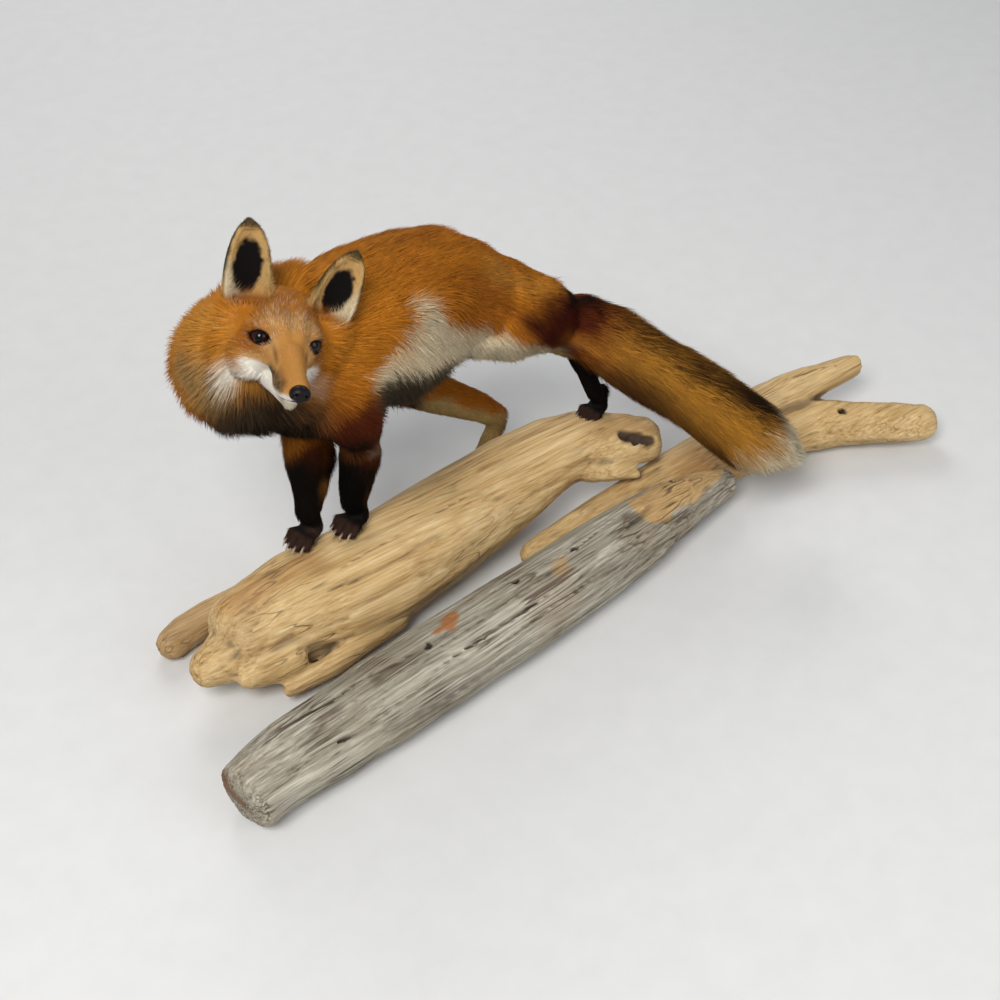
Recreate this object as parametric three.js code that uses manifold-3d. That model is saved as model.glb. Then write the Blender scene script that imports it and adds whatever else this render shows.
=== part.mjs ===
// A red fox mounted on driftwood, life size. Millimetres, +Z up, the floor at z = 0.
// The fox heads along -X with its left side toward -Y, and turns its head to its left.
// Each part is a union of lofts and ellipsoids, cut back from its neighbours by a thin gap.
import * as THREE from "three";
import { ParametricGeometry } from "three/addons/geometries/ParametricGeometry.js";
import { mergeVertices } from "three/addons/utils/BufferGeometryUtils.js";
import Module from "manifold-3d";

// ---- Driving dimensions ----
const GAP = 0.3; // clearance between touching parts
const MERGE = 1e-4; // distance under which two vertices are one

const CHEST_HEIGHT = 312; // middle of the chest above the floor
const HIP_HEIGHT = 269;
const RUMP_HEIGHT = 248;
const CHEST_HALF = 74; // half height of the chest, coat included
const HIP_HALF = 47;
const TAIL_HALF = 43; // the brush at its thickest

const LOG_TOP = 115; // where the paws stand on the tan log
const TAN_HALF = 56; // half thickness of the tan log
const GREY_HALF = 42; // half thickness of the grey log
const BRANCH_HALF = 27; // half thickness of the forked branch

const EYES = [-281, -101, 394]; // midpoint between the eyes
const HEAD_YAW = -102.8; // degrees from +X: the head looks to the fox's left
const HEAD_PITCH = 15.3; // degrees the muzzle is raised
const HEAD_LEAN = 23.2; // degrees the crown leans to the fox's left
const EYE_SPACING = 43.5;
const EYE_RADIUS = 7.5;
const EYE_DEPTH = -4.5; // middle of an eyeball behind the lids
const NOSE_AHEAD = 69; // nose pad ahead of the eyes
const NOSE_BELOW = 23.5; // and below them
const CHEEK_HALF = 50; // half width of the face at the cheeks
const CROWN = 38; // crown above the eyes
const EAR_HALF = 27; // half width of an ear
const EAR_DEPTH = 15; // half depth of an ear at its base, fore and aft
const EAR_WALL = 3;
const EAR_CUP = 9; // how far the ear's hollow stands ahead of it, so that it opens forwards
// Ear bases and tips in the head's frame; the left ear is tipped a little outwards.
const EARS = {
  left: { base: [-36, 38, 14], tip: [-34, 50, 74] },
  right: { base: [-36, -32, 16], tip: [-36, -44, 82] },
};

const TOE_REACH = 24; // toes ahead of the ankle
const TOE_HALF = 11; // half length of a toe
const CLAW_LENGTH = 9;
const CLAW_RADIUS = 1.9;
const CLAW_TIP = 0.5; // radius at the point
const CLAW_DROOP = 24; // degrees a claw points down
const CLAW_BURIED = 2; // the length of a claw inside its toe
const HIND_SHARE = 0.86; // a hind foot's size against a forefoot's
// Where each foot stands, and the way its toes point, in degrees from +X.
const FEET = {
  forefoot_left: { at: [-206, -50, LOG_TOP - 4], yaw: 202 },
  forefoot_right: { at: [-252, -39, LOG_TOP - 6], yaw: 202 },
  hindfoot_left: { at: [101, -37, LOG_TOP - 10], yaw: 198 },
  hindfoot_right: { at: [-26, 27, -1], yaw: 188 },
};

const COLOURS = {
  coat: "#b5622a",
  throat: "#6e645c",
  brush: "#8a5a2c",
  stocking: "#1f1612",
  pale: "#d8cdbb",
  eye: "#2a120a",
  nose: "#141212",
  claw: "#8d7464",
  tan: "#c79a5b",
  grey: "#a39c8f",
};

// ---- Geometry helpers ----
const wasm = await Module();
wasm.setup();

const X = new THREE.Vector3(1, 0, 0);
const Z = new THREE.Vector3(0, 0, 1);
const degrees = THREE.MathUtils.degToRad;

const round = () => 1;

// A section that swells and dents as worn wood does, turning slowly along its length.
function weathered(depth, seed, twist = 1.5) {
  return (angle, t) =>
    1 +
    depth * Math.sin(2 * angle + seed + twist * t) +
    0.6 * depth * Math.sin(3 * angle + 2.3 * seed - 2 * twist * t) +
    0.45 * depth * Math.sin(5 * angle + 3.1 * seed + 3 * twist * t);
}

// A closed tube with rounded ends through stations [x, y, z, half width, half height].
// The half height lies along the up hint, made square to the tube.
function loft(stations, { up = Z, around = 14, along = 3, blunt = 0.8, section = round } = {}) {
  const curve = (pick) => new THREE.CatmullRomCurve3(stations.map(pick), false, "catmullrom", 0.5);
  const spine = curve(([x, y, z]) => new THREE.Vector3(x, y, z));
  const sizes = curve(([, , , w, h]) => new THREE.Vector3(w, h, 0));
  const rows = (stations.length - 1) * along;
  const capRows = 2;
  return (grow = 0) => {
    const surface = (u, v, target) => {
      const row = v * (rows + 2 * capRows) - capRows;
      const t = THREE.MathUtils.clamp(row / rows, 0, 1);
      const over = Math.max(-row, row - rows, 0) / capRows; // 0 on the tube, 1 at a pole
      const roundOff = Math.cos((over * Math.PI) / 2);
      const tangent = spine.getTangent(t).normalize();
      const high = up.clone().addScaledVector(tangent, -up.dot(tangent)).normalize();
      const wide = new THREE.Vector3().crossVectors(high, tangent);
      const size = sizes.getPoint(t);
      const [w, h] = [size.x + grow, size.y + grow];
      const reach = Math.sign(t - 0.5) * Math.sin((over * Math.PI) / 2) * blunt * Math.min(w, h);
      const angle = 2 * Math.PI * u;
      const bulge = roundOff * section(angle, t);
      target
        .copy(spine.getPoint(t))
        .addScaledVector(tangent, reach)
        .addScaledVector(wide, w * bulge * Math.cos(angle))
        .addScaledVector(high, h * bulge * Math.sin(angle));
    };
    return new ParametricGeometry(surface, around, rows + 2 * capRows);
  };
}

// An ellipsoid with the given centre and half sizes.
function ellipsoid([x, y, z], [rx, ry, rz], around) {
  return (grow = 0) =>
    new THREE.SphereGeometry(1, around, Math.round(around * 0.6))
      .rotateX(Math.PI / 2)
      .scale(rx + grow, ry + grow, rz + grow)
      .translate(x, y, z);
}

// The same shapes carried into another frame.
const placed = (matrix, shapes) =>
  shapes.map((shape) => (grow = 0) => shape(grow).applyMatrix4(matrix));

// A closed mesh as a solid, its faces turned outwards.
function solid(geometry) {
  const bare = geometry.clone();
  bare.deleteAttribute("normal");
  bare.deleteAttribute("uv");
  const merged = mergeVertices(bare, MERGE);
  const corners = merged.index.array;
  const build = (outward) => {
    const triVerts = [];
    for (let i = 0; i < corners.length; i += 3) {
      const [a, b, c] = corners.slice(i, i + 3);
      if (a !== b && b !== c && c !== a) triVerts.push(...(outward ? [a, b, c] : [a, c, b]));
    }
    const vertProperties = merged.attributes.position.array;
    const mesh = { numProp: 3, vertProperties, triVerts: new Uint32Array(triVerts) };
    return new wasm.Manifold(new wasm.Mesh(mesh));
  };
  const made = build(true);
  return made.volume() > 0 ? made : build(false);
}

const joined = (shapes, grow = 0) =>
  shapes.map((shape) => solid(shape(grow))).reduce((sum, next) => sum.add(next));

const cut = (body, shapes, grow = 0) =>
  shapes.reduce((rest, shape) => rest.subtract(solid(shape(grow))), body);

function largest(body) {
  return body.decompose().reduce((best, next) => (next.volume() > best.volume() ? next : best));
}

// ---- Fox: body ----
const trunk = [
  loft(
    [
      [-262, -32, CHEST_HEIGHT + 3, 60, CHEST_HALF - 1],
      [-215, -32, CHEST_HEIGHT + 8, 67, CHEST_HALF + 9],
      [-150, -20, CHEST_HEIGHT + 6, 69, CHEST_HALF + 7],
      [-92, -11, CHEST_HEIGHT + 1, 62, CHEST_HALF],
      [-33, -13, (CHEST_HEIGHT + HIP_HEIGHT) / 2 - 3, 53, HIP_HALF + 9],
      [6, -25, HIP_HEIGHT, 46, HIP_HALF],
      [46, -32, RUMP_HEIGHT, 34, HIP_HALF - 11],
    ],
    { around: 12, along: 2 },
  ),
];

const neck = [
  loft(
    [
      [-232, -30, 330, 60, 80],
      [-272, -20, 328, 64, 71],
      [-294, -30, 334, 65, 64],
      [-286, -54, 352, 54, 58],
    ],
    { around: 12, along: 2 },
  ),
];

// ---- Fox: head, in a frame at the eyes with x ahead, y to its left and z to its crown ----
const headFrame = new THREE.Matrix4()
  .makeTranslation(...EYES)
  .multiply(new THREE.Matrix4().makeRotationZ(degrees(HEAD_YAW)))
  .multiply(new THREE.Matrix4().makeRotationY(degrees(-HEAD_PITCH)))
  .multiply(new THREE.Matrix4().makeRotationX(degrees(-HEAD_LEAN)));

const muzzle = loft(
  [
    [-20, 0, 1, 28, 29],
    [0, 0, -6, 19, 21],
    [16, 0, -14, 15.5, 16.5],
    [36, 0, -20, 13, 13.5],
    [54, 0, -24, 11.5, 12],
    [NOSE_AHEAD - 6, 0, -NOSE_BELOW - 2, 9.5, 10],
  ],
  { around: 10, along: 1, blunt: 0.5 },
);
const jaw = loft(
  [
    [-16, 0, -34, 24, 15],
    [12, 0, -34, 15, 10],
    [36, 0, -36, 10, 8],
    [52, 0, -38, 7.5, 6],
  ],
  { around: 10, along: 1 },
);
const cheek = (hand) =>
  ellipsoid([-30, hand * (CHEEK_HALF - 26), -22], [34, 26, 31], 9);
const cranium = ellipsoid([-36, 0, CROWN - 40], [44, 41, 40], 12);

const skull = placed(headFrame, [cranium, muzzle, jaw, cheek(1), cheek(-1)]);
const eye = (hand) =>
  placed(headFrame, [
    ellipsoid([EYE_DEPTH, hand * (EYE_SPACING / 2), -1], [EYE_RADIUS, EYE_RADIUS, EYE_RADIUS], 8),
  ]);
const nose = placed(headFrame, [
  ellipsoid([NOSE_AHEAD - 1, 0, -NOSE_BELOW + 2], [6.5, 8.5, 7], 10),
]);

// An ear is a cone flattened fore and aft, hollowed from the front.
function ear({ base, tip }) {
  const profile = (inset, ahead) =>
    [0, 0.25, 0.5, 0.75, 1].map((t) => {
      const taper = Math.sqrt(1 - 0.97 * t) * (0.85 + 0.6 * t);
      const place = base.map((from, axis) => from + (tip[axis] - from) * t);
      return [
        place[0] + ahead,
        place[1],
        place[2],
        Math.max(EAR_HALF * taper - inset, 1),
        Math.max(EAR_DEPTH * (1 - 0.75 * t) - inset, 1),
      ];
    });
  const shell = loft(profile(0, 0), { up: X, around: 10, along: 1, blunt: 0.6 });
  const hollow = loft(profile(EAR_WALL, EAR_CUP), { up: X, around: 8, along: 1, blunt: 0.4 });
  return { outside: placed(headFrame, [shell]), inside: placed(headFrame, [hollow]) };
}

// ---- Fox: legs ----
const upperForeleg = {
  left: [
    loft(
      [
        [-234, -72, 306, 32, 42],
        [-215, -76, 270, 30, 34],
        [-204, -72, 244, 22, 24],
      ],
      { up: X, around: 8, along: 1 },
    ),
  ],
  right: [
    loft(
      [
        [-238, 14, 298, 30, 38],
        [-228, 6, 262, 25, 32],
        [-234, -14, 236, 21, 28],
      ],
      { up: X, around: 8, along: 1 },
    ),
  ],
};
const lowerForeleg = {
  left: [
    loft(
      [
        [-204, -71, 242, 20, 21],
        [-204, -62, 200, 17, 20],
        [-206, -54, 165, 15, 17],
        [-207, -50, 138, 13, 14],
      ],
      { up: X, around: 8, along: 1 },
    ),
  ],
  right: [
    loft(
      [
        [-237, -20, 232, 19, 27],
        [-240, -29, 196, 16, 26],
        [-246, -35, 160, 12, 18],
        [-252, -38, 138, 12.5, 13],
      ],
      { up: X, around: 8, along: 1 },
    ),
  ],
};
const thigh = {
  left: [
    loft(
      [
        [22, -38, 268, 32, 46],
        [-28, -46, 273, 27, 39],
        [-70, -47, 281, 20, 25],
      ],
      { around: 8, along: 1 },
    ),
  ],
  right: [
    loft(
      [
        [12, 22, 258, 30, 44],
        [-42, 38, 222, 24, 36],
        [-88, 44, 186, 18, 26],
      ],
      { around: 8, along: 1 },
    ),
  ],
};
const shank = {
  left: [
    loft(
      [
        [-68, -47, 276, 16, 19],
        [-20, -44, 256, 16, 19],
        [34, -34, 227, 14, 16],
        [64, -30, 204, 12, 14],
      ],
      { around: 8, along: 1 },
    ),
  ],
  right: [
    loft(
      [
        [-92, 44, 178, 20, 28],
        [-50, 42, 144, 19, 25],
        [-4, 38, 110, 16, 20],
        [20, 36, 88, 14, 16],
      ],
      { around: 8, along: 1 },
    ),
  ],
};
const metatarsus = {
  left: [
    loft(
      [
        [70, -30, 200, 13, 14],
        [84, -36, 168, 12, 12],
        [96, -41, 134, 12, 12],
      ],
      { up: X, around: 8, along: 1 },
    ),
  ],
  right: [
    loft(
      [
        [20, 35, 80, 12, 14],
        [0, 31, 52, 11, 12],
        [-20, 28, 26, 12, 12],
      ],
      { up: X, around: 8, along: 1 },
    ),
  ],
};

// A foot in its own frame: sole at z = 0 under the ankle, toes along x.
const TOES = [
  [TOE_REACH - 6, 14],
  [TOE_REACH, 5],
  [TOE_REACH, -5],
  [TOE_REACH - 6, -14],
];
const foot = [
  ellipsoid([3, 0, 9], [20, 16, 11], 7),
  ellipsoid([-4, 0, 20], [13, 12, 15], 6),
  ...TOES.map(([x, y]) => ellipsoid([x, y, 8], [TOE_HALF, 6, 8.5], 5)),
];
const claw =
  ([x, y]) =>
  () =>
    new THREE.CylinderGeometry(CLAW_TIP, CLAW_RADIUS, CLAW_LENGTH, 4)
      .rotateZ(-Math.PI / 2 - degrees(CLAW_DROOP))
      .rotateX(Math.PI / 2)
      .translate(x + TOE_HALF - CLAW_BURIED + CLAW_LENGTH / 2, y, 9);

const footFrame = ({ at, yaw }, size) =>
  new THREE.Matrix4()
    .makeTranslation(...at)
    .multiply(new THREE.Matrix4().makeRotationZ(degrees(yaw)))
    .multiply(new THREE.Matrix4().makeScale(size, size, size));

// ---- Fox: tail, one brush cut into three lengths ----
const TAIL = [
  [52, -33, 245, 33, 36],
  [84, -47, 224, 37, 42],
  [122, -82, 191, TAIL_HALF - 3, TAIL_HALF - 1],
  [155, -120, 166, TAIL_HALF - 1, TAIL_HALF - 1],
  [193, -162, 128, TAIL_HALF, TAIL_HALF],
  [222, -186, 103, TAIL_HALF - 7, TAIL_HALF - 7],
  [240, -192, 92, 20, 20],
];
const tail = {
  base: [loft(TAIL.slice(0, 3), { around: 10, along: 2 })],
  middle: [loft(TAIL.slice(1, 5), { around: 10, along: 2 })],
  tip: [loft(TAIL.slice(4), { around: 10, along: 2 })],
};

// ---- Driftwood ----
const tanLog = [
  loft(
    [
      [-362, -74, 55, 40, 42],
      [-283, -68, 55, TAN_HALF - 3, TAN_HALF + 2],
      [-195, -72, 56, TAN_HALF, TAN_HALF + 3],
      [-58, -50, 62, TAN_HALF - 6, TAN_HALF - 3],
      [45, -40, 75, TAN_HALF - 15, TAN_HALF - 15],
      [96, -60, 80, TAN_HALF - 21, TAN_HALF - 22],
      [142, -86, 82, 24, 24],
    ],
    { around: 12, along: 2, blunt: 0.4, section: weathered(0.05, 0.7) },
  ),
  loft(
    [
      [-320, -84, 52, 30, 30],
      [-374, -84, 48, 25, 28],
      [-400, -86, 45, 18, 20],
    ],
    { around: 8, along: 1, section: weathered(0.06, 2) },
  ),
  loft(
    [
      [-320, -112, 42, 20, 22],
      [-356, -114, 42, 16, 18],
      [-370, -116, 42, 11, 12],
    ],
    { around: 8, along: 1, section: weathered(0.06, 3) },
  ),
  loft(
    [
      [-340, -136, 22, 8, 8],
      [-290, -134, 26, 12, 12],
      [-200, -118, 34, 14, 18],
    ],
    { around: 8, along: 1, section: weathered(0.06, 4) },
  ),
  loft(
    [
      [62, -74, 72, 18, 16],
      [92, -98, 68, 12, 11],
      [108, -110, 62, 7, 7],
    ],
    { around: 10, along: 2, section: weathered(0.05, 1) },
  ),
];
const greyLog = [
  loft(
    [
      [-432, -235, 34, GREY_HALF - 8, GREY_HALF - 9],
      [-375, -220, 36, GREY_HALF - 2, GREY_HALF - 2],
      [-255, -204, 37, GREY_HALF + 3, GREY_HALF + 1],
      [-159, -191, 37, GREY_HALF + 3, GREY_HALF + 1],
      [-59, -179, 38, GREY_HALF + 3, GREY_HALF + 2],
      [70, -157, 36, GREY_HALF - 3, GREY_HALF - 3],
      [150, -144, 33, GREY_HALF - 14, GREY_HALF - 12],
      [206, -142, 29, 16, 18],
    ],
    { around: 12, along: 2, blunt: 0.2, section: weathered(0.04, 2.4) },
  ),
];
const rearBranch = [
  loft(
    [
      [-404, -10, 16, 17, 17],
      [-356, 3, 16, 18, 19],
      [-250, 8, 16, 17, 18],
      [-150, 10, 14, 13, 15],
    ],
    { around: 10, along: 2, section: weathered(0.05, 1.3) },
  ),
];
const forkedBranch = [
  loft(
    [
      [-36, -108, 20, 13, 14],
      [30, -106, 25, 18, 20],
      [120, -104, 30, 23, 28],
      [240, -104, 31, BRANCH_HALF + 6, BRANCH_HALF + 6],
      [340, -118, 31, BRANCH_HALF + 2, BRANCH_HALF + 6],
      [410, -160, 31, 24, 26],
      [460, -190, 30, 22, 22],
    ],
    { around: 10, along: 2, section: weathered(0.05, 0.4) },
  ),
  loft(
    [
      [250, -84, 52, 26, 22],
      [340, -84, 58, 26, 22],
      [400, -88, 60, 20, 18],
      [440, -90, 60, 15, 16],
    ],
    { around: 10, along: 2, blunt: 0.3, section: weathered(0.08, 1.9) },
  ),
];

// ---- Parts, each cut back by a gap from all those listed before it ----
const parts = [];

function part(name, shapes, colour, { hollows = [], grounded = false, roughness = 0.9 } = {}) {
  parts.push({ name, shapes, colour, hollows, grounded, roughness });
}

part("forked_branch", forkedBranch, COLOURS.tan, { grounded: true });
part("tan_log", tanLog, COLOURS.tan, { grounded: true });
part("grey_log", greyLog, COLOURS.grey, { grounded: true });
part("rear_branch", rearBranch, COLOURS.tan, { grounded: true });

for (const [hand, side] of [[1, "left"], [-1, "right"]])
  part("eye_" + side, eye(hand), COLOURS.eye, { roughness: 0.05 });
part("nose", nose, COLOURS.nose, { roughness: 0.4 });
part("head", skull, COLOURS.coat);
for (const side of ["left", "right"]) {
  const { outside, inside } = ear(EARS[side]);
  part("ear_" + side, outside, COLOURS.coat, { hollows: inside });
}
part("trunk", trunk, COLOURS.coat);
part("neck", neck, COLOURS.throat);
part("tail_base", tail.base, COLOURS.brush);
part("tail_middle", tail.middle, COLOURS.brush);
part("tail_tip", tail.tip, COLOURS.pale);

for (const side of ["left", "right"]) {
  part("upper_foreleg_" + side, upperForeleg[side], COLOURS.coat);
  part("lower_foreleg_" + side, lowerForeleg[side], COLOURS.stocking);
  part("thigh_" + side, thigh[side], COLOURS.coat);
  part("shank_" + side, shank[side], COLOURS.pale);
  part("metatarsus_" + side, metatarsus[side], COLOURS.stocking);
}
for (const [name, stance] of Object.entries(FEET)) {
  const frame = footFrame(stance, name.startsWith("hind") ? HIND_SHARE : 1);
  part(name, placed(frame, foot), COLOURS.stocking, { grounded: true });
  TOES.forEach((toe, i) =>
    part(name + "_claw_" + (i + 1), placed(frame, [claw(toe)]), COLOURS.claw, {
      grounded: true,
      roughness: 0.4,
    }),
  );
}

// ---- Scene graph: the origin is under the middle of the whole mount, on the floor ----
const mount = new THREE.Group();
const belowFloor = () => new THREE.BoxGeometry(1400, 1000, 200).translate(0, 0, -100);
const earlier = []; // the room taken by each part made so far

for (const { name, shapes, colour, hollows, grounded, roughness } of parts) {
  let body = cut(joined(shapes), hollows);
  if (grounded) body = cut(body, [belowFloor]);
  for (const room of earlier) body = body.subtract(room);
  earlier.push(cut(joined(shapes, GAP), hollows, -GAP));

  const { vertProperties, triVerts } = largest(body).getMesh();
  const geometry = new THREE.BufferGeometry();
  geometry.setAttribute("position", new THREE.BufferAttribute(vertProperties, 3));
  geometry.setIndex(new THREE.BufferAttribute(triVerts, 1));
  geometry.computeVertexNormals();
  const material = new THREE.MeshStandardMaterial({ color: colour, roughness, metalness: 0 });
  const mesh = new THREE.Mesh(geometry, material);
  mesh.name = name;
  mount.add(mesh);
}

const extent = new THREE.Box3().setFromObject(mount);
const middle = extent.getCenter(new THREE.Vector3());
mount.position.set(-middle.x, -middle.y, 0);

export default mount;
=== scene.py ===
import math

import bpy
import numpy as np
import openvdb as vdb
from mathutils import Matrix, Vector


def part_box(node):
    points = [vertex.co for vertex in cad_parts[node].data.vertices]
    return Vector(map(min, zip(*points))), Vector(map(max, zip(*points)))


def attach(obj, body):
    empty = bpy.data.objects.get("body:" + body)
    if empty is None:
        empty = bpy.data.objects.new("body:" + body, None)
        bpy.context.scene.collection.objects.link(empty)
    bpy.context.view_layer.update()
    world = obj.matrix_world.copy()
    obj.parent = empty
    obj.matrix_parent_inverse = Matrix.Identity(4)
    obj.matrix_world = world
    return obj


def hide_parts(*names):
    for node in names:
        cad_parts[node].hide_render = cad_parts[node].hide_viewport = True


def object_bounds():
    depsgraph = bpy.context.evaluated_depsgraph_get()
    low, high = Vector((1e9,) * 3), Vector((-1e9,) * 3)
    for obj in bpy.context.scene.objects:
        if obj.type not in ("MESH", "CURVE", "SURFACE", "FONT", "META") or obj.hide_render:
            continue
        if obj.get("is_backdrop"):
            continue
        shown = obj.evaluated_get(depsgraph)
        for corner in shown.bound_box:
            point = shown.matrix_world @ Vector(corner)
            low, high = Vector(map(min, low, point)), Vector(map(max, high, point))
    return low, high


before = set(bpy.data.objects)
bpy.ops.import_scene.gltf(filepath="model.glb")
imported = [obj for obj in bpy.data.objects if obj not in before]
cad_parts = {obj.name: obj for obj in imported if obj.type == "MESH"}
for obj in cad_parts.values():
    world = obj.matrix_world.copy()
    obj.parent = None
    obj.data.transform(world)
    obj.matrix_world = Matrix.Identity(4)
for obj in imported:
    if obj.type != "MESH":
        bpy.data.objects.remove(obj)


def corners(bounds):
    """A box's two corners as plain lists."""
    return [[float(x) for x in corner] for corner in bounds]


CAD_BOX = corners(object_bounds())

# Shapes are worked out in millimetres in the frame the solids are drawn in: the fox heads
# along -X with its left side toward -Y, and SHIFT carries that frame to the row's frame.
SHIFT = np.array([-17.98, 102.40, 0.0])
RNG = np.random.default_rng(7)
FLOOR_GAP = 0.25  # the logs' undersides stay this far above the floor
# SKIN_SHADE is painted shade: the skin seen between the tufts is darkened as if in the shade of the hair.
SKIN_SHADE = 0.8  # the skin under the coat is this much darker than its hair

# ---- The head's own frame: x ahead, y to its left, z to its crown, origin between the eyes ----
EYES = np.array([-281.0, -101.0, 394.0])
HEAD_YAW, HEAD_PITCH, HEAD_LEAN = -102.8, 15.3, 23.2


def turn(axis, degrees):
    return np.array(Matrix.Rotation(math.radians(degrees), 3, axis))


HEAD = turn("Z", HEAD_YAW) @ turn("Y", -HEAD_PITCH) @ turn("X", -HEAD_LEAN)
to_head = lambda p: (p - EYES) @ HEAD
from_head = lambda h: h @ HEAD.T + EYES

EYE_AT = np.array([-4.5, 21.75, -1.0])  # the left eyeball; the right one mirrors it
EYE_R = 9.2
EARS = {
    "left": (np.array([-36.0, 38, 14]), np.array([-34.0, 50, 74])),
    "right": (np.array([-36.0, -32, 16]), np.array([-36.0, -44, 82])),
}
EAR_SIDES = (("left", 1), ("right", -1))
EAR_HALF, EAR_DEPTH = 25.0, 14.0
# The lips' lines in the left half of the head: their groove, and the dark hair along them
LIPS = [(61, 0, -32.6), (54, 7.5, -34.6), (38, 11.6, -35.6), (16, 14.5, -35.4)]
LIP_EDGE = [(60, 0, -32.6), (54, 7.5, -34.6), (38, 11.6, -35.6), (14, 14.5, -35.4)]


# ---- Small helpers ----
def smooth(low, high, x):
    """0 at low and 1 at high, easing in and out."""
    t = np.clip((x - low) / (high - low), 0, 1)
    return t * t * (3 - 2 * t)


def unit(v):
    return v / np.maximum(np.linalg.norm(v, axis=-1, keepdims=True), 1e-9)


def mix(a, b, t):
    return a + (b - a) * t


TABLE = RNG.random((32, 32, 32)).astype(np.float32)


def noise(p, scale, seed=0):
    """Smooth value noise in -1..1 at points p, with features about scale across."""
    q = np.asarray(p, np.float32) / np.asarray(scale, np.float32) + 13.7 * (seed + 1)
    i = np.floor(q).astype(np.int32)
    f = q - i
    f = f * f * (3 - 2 * f)
    near = 1 - f, f
    total = 0
    for d in np.ndindex(2, 2, 2):
        w = near[d[0]][..., 0] * near[d[1]][..., 1] * near[d[2]][..., 2]
        total = total + w * TABLE[tuple((i[..., k] + d[k]) % 32 for k in range(3))]
    return 2 * total - 1


def segment(p, a, b):
    """Distance from points p to the line from a to b, and how far along it, 0 to 1."""
    a, b = np.asarray(a, np.float32), np.asarray(b, np.float32)
    ab = b - a
    t = np.clip(((p - a) @ ab) / (ab @ ab), 0, 1)
    return np.linalg.norm(p - a - t[..., None] * ab, axis=-1), t


def cone(p, a, b, ra, rb):
    """Distance to a round-ended cone from a to b."""
    d, t = segment(p, a, b)
    return d - (ra + (rb - ra) * t)


def ball(p, centre, radii):
    """About the distance to an ellipsoid."""
    q = (p - np.asarray(centre, np.float32)) / np.asarray(radii, np.float32)
    k0 = np.linalg.norm(q, axis=-1)
    k1 = np.linalg.norm(q / np.asarray(radii, np.float32), axis=-1)
    return k0 * (k0 - 1) / np.maximum(k1, 1e-5)


def melt(a, b, k):
    """A smooth union."""
    h = np.clip(0.5 + 0.5 * (b - a) / k, 0, 1)
    return b + (a - b) * h - k * h * (1 - h)


def carve(a, b, k):
    """a with b taken out, its edge rounded."""
    return -melt(-a, b, k)


def grid_points(low, size, step):
    axes = [low[i] + step * np.arange(size[i], dtype=np.float32) for i in range(3)]
    return np.stack(np.meshgrid(*axes, indexing="ij"), axis=-1)


def surface(field, low, step, level=0.0):
    """The closed surface of a sampled field: points and quads."""
    grid = vdb.FloatGrid(float(4 * step))
    grid.copyFromArray(np.clip(field, -4 * step, 4 * step).astype(np.float32))
    grid.transform = vdb.createLinearTransform(voxelSize=float(step))
    grid.gridClass = vdb.GridClass.LEVEL_SET
    points, tris, quads = grid.convertToPolygons(isovalue=level, adaptivity=0)
    return points + np.asarray(low, np.float32), quads[:, ::-1].astype(np.int64)


def blur(field, sigma):
    """A Gaussian blur, sigma in samples."""
    reach = int(math.ceil(2.5 * sigma))
    k = np.exp(-0.5 * (np.arange(-reach, reach + 1) / sigma) ** 2)
    k = (k / k.sum()).astype(np.float32)
    for axis in range(3):
        padded = np.pad(field, [(reach, reach) if i == axis else (0, 0) for i in range(3)], mode="edge")
        n = field.shape[axis]
        field = sum(k[j] * np.take(padded, range(j, j + n), axis=axis) for j in range(2 * reach + 1))
    return field


def node_shapes(names):
    """The CAD nodes' triangles, in millimetres in the drawing frame."""
    points, faces, base = [], [], 0
    for name in names:
        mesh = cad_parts[name].data
        co = np.zeros(len(mesh.vertices) * 3, np.float32)
        mesh.vertices.foreach_get("co", co)
        mesh.calc_loop_triangles()
        tri = np.zeros(len(mesh.loop_triangles) * 3, np.int32)
        mesh.loop_triangles.foreach_get("vertices", tri)
        points.append(co.reshape(-1, 3) * 1000 - SHIFT.astype(np.float32))
        faces.append(tri.reshape(-1, 3) + base)
        base += len(points[-1])
    return np.concatenate(points), np.concatenate(faces).astype(np.uint32)


def distances(points, faces, step, low, size, band):
    """Signed distance to a closed mesh, sampled on a block of the grid."""
    kind = "quads" if faces.shape[1] == 4 else "triangles"
    grid = vdb.FloatGrid.createLevelSetFromPolygons(
        (points - np.asarray(low, np.float32)).astype(np.float32), **{kind: faces.astype(np.uint32)},
        transform=vdb.createLinearTransform(voxelSize=float(step)), halfWidth=float(band / step))
    out = np.zeros(size, np.float32)
    grid.copyToArray(out)
    return out


def make_object(name, points, faces):
    """A mesh object in metres in the row's frame, from drawing-frame points and equal-sized faces."""
    mesh = bpy.data.meshes.new(name)
    n = faces.shape[1]
    mesh.vertices.add(len(points))
    mesh.vertices.foreach_set("co", ((points + SHIFT) / 1000).astype(np.float32).ravel())
    mesh.loops.add(faces.size)
    mesh.loops.foreach_set("vertex_index", faces.astype(np.int32).ravel())
    mesh.polygons.add(len(faces))
    mesh.polygons.foreach_set("loop_start", np.arange(0, faces.size, n, dtype=np.int32))
    mesh.polygons.foreach_set("use_smooth", np.ones(len(faces), bool))
    mesh.update(calc_edges=True)
    obj = bpy.data.objects.new(name, mesh)
    bpy.context.scene.collection.objects.link(obj)
    return obj


def fit(obj, material, slot, *nodes):
    """A piece's material and body, and the CAD nodes it stands in for; its slot is not used."""
    obj.data.materials.append(material)
    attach(obj, "root")
    if nodes:
        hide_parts(*nodes)


def mesh_points(obj):
    """Its points in millimetres in the drawing frame."""
    co = np.zeros(len(obj.data.vertices) * 3, np.float32)
    obj.data.vertices.foreach_get("co", co)
    return co.reshape(-1, 3) * 1000 - SHIFT


def paint(obj, name, colour):
    """A colour attribute, one colour per point."""
    layer = obj.data.color_attributes.new(name, "FLOAT_COLOR", "POINT")
    rgba = np.ones((len(colour), 4), np.float32)
    rgba[:, :colour.shape[1]] = colour
    layer.data.foreach_set("color", rgba.ravel())


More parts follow.
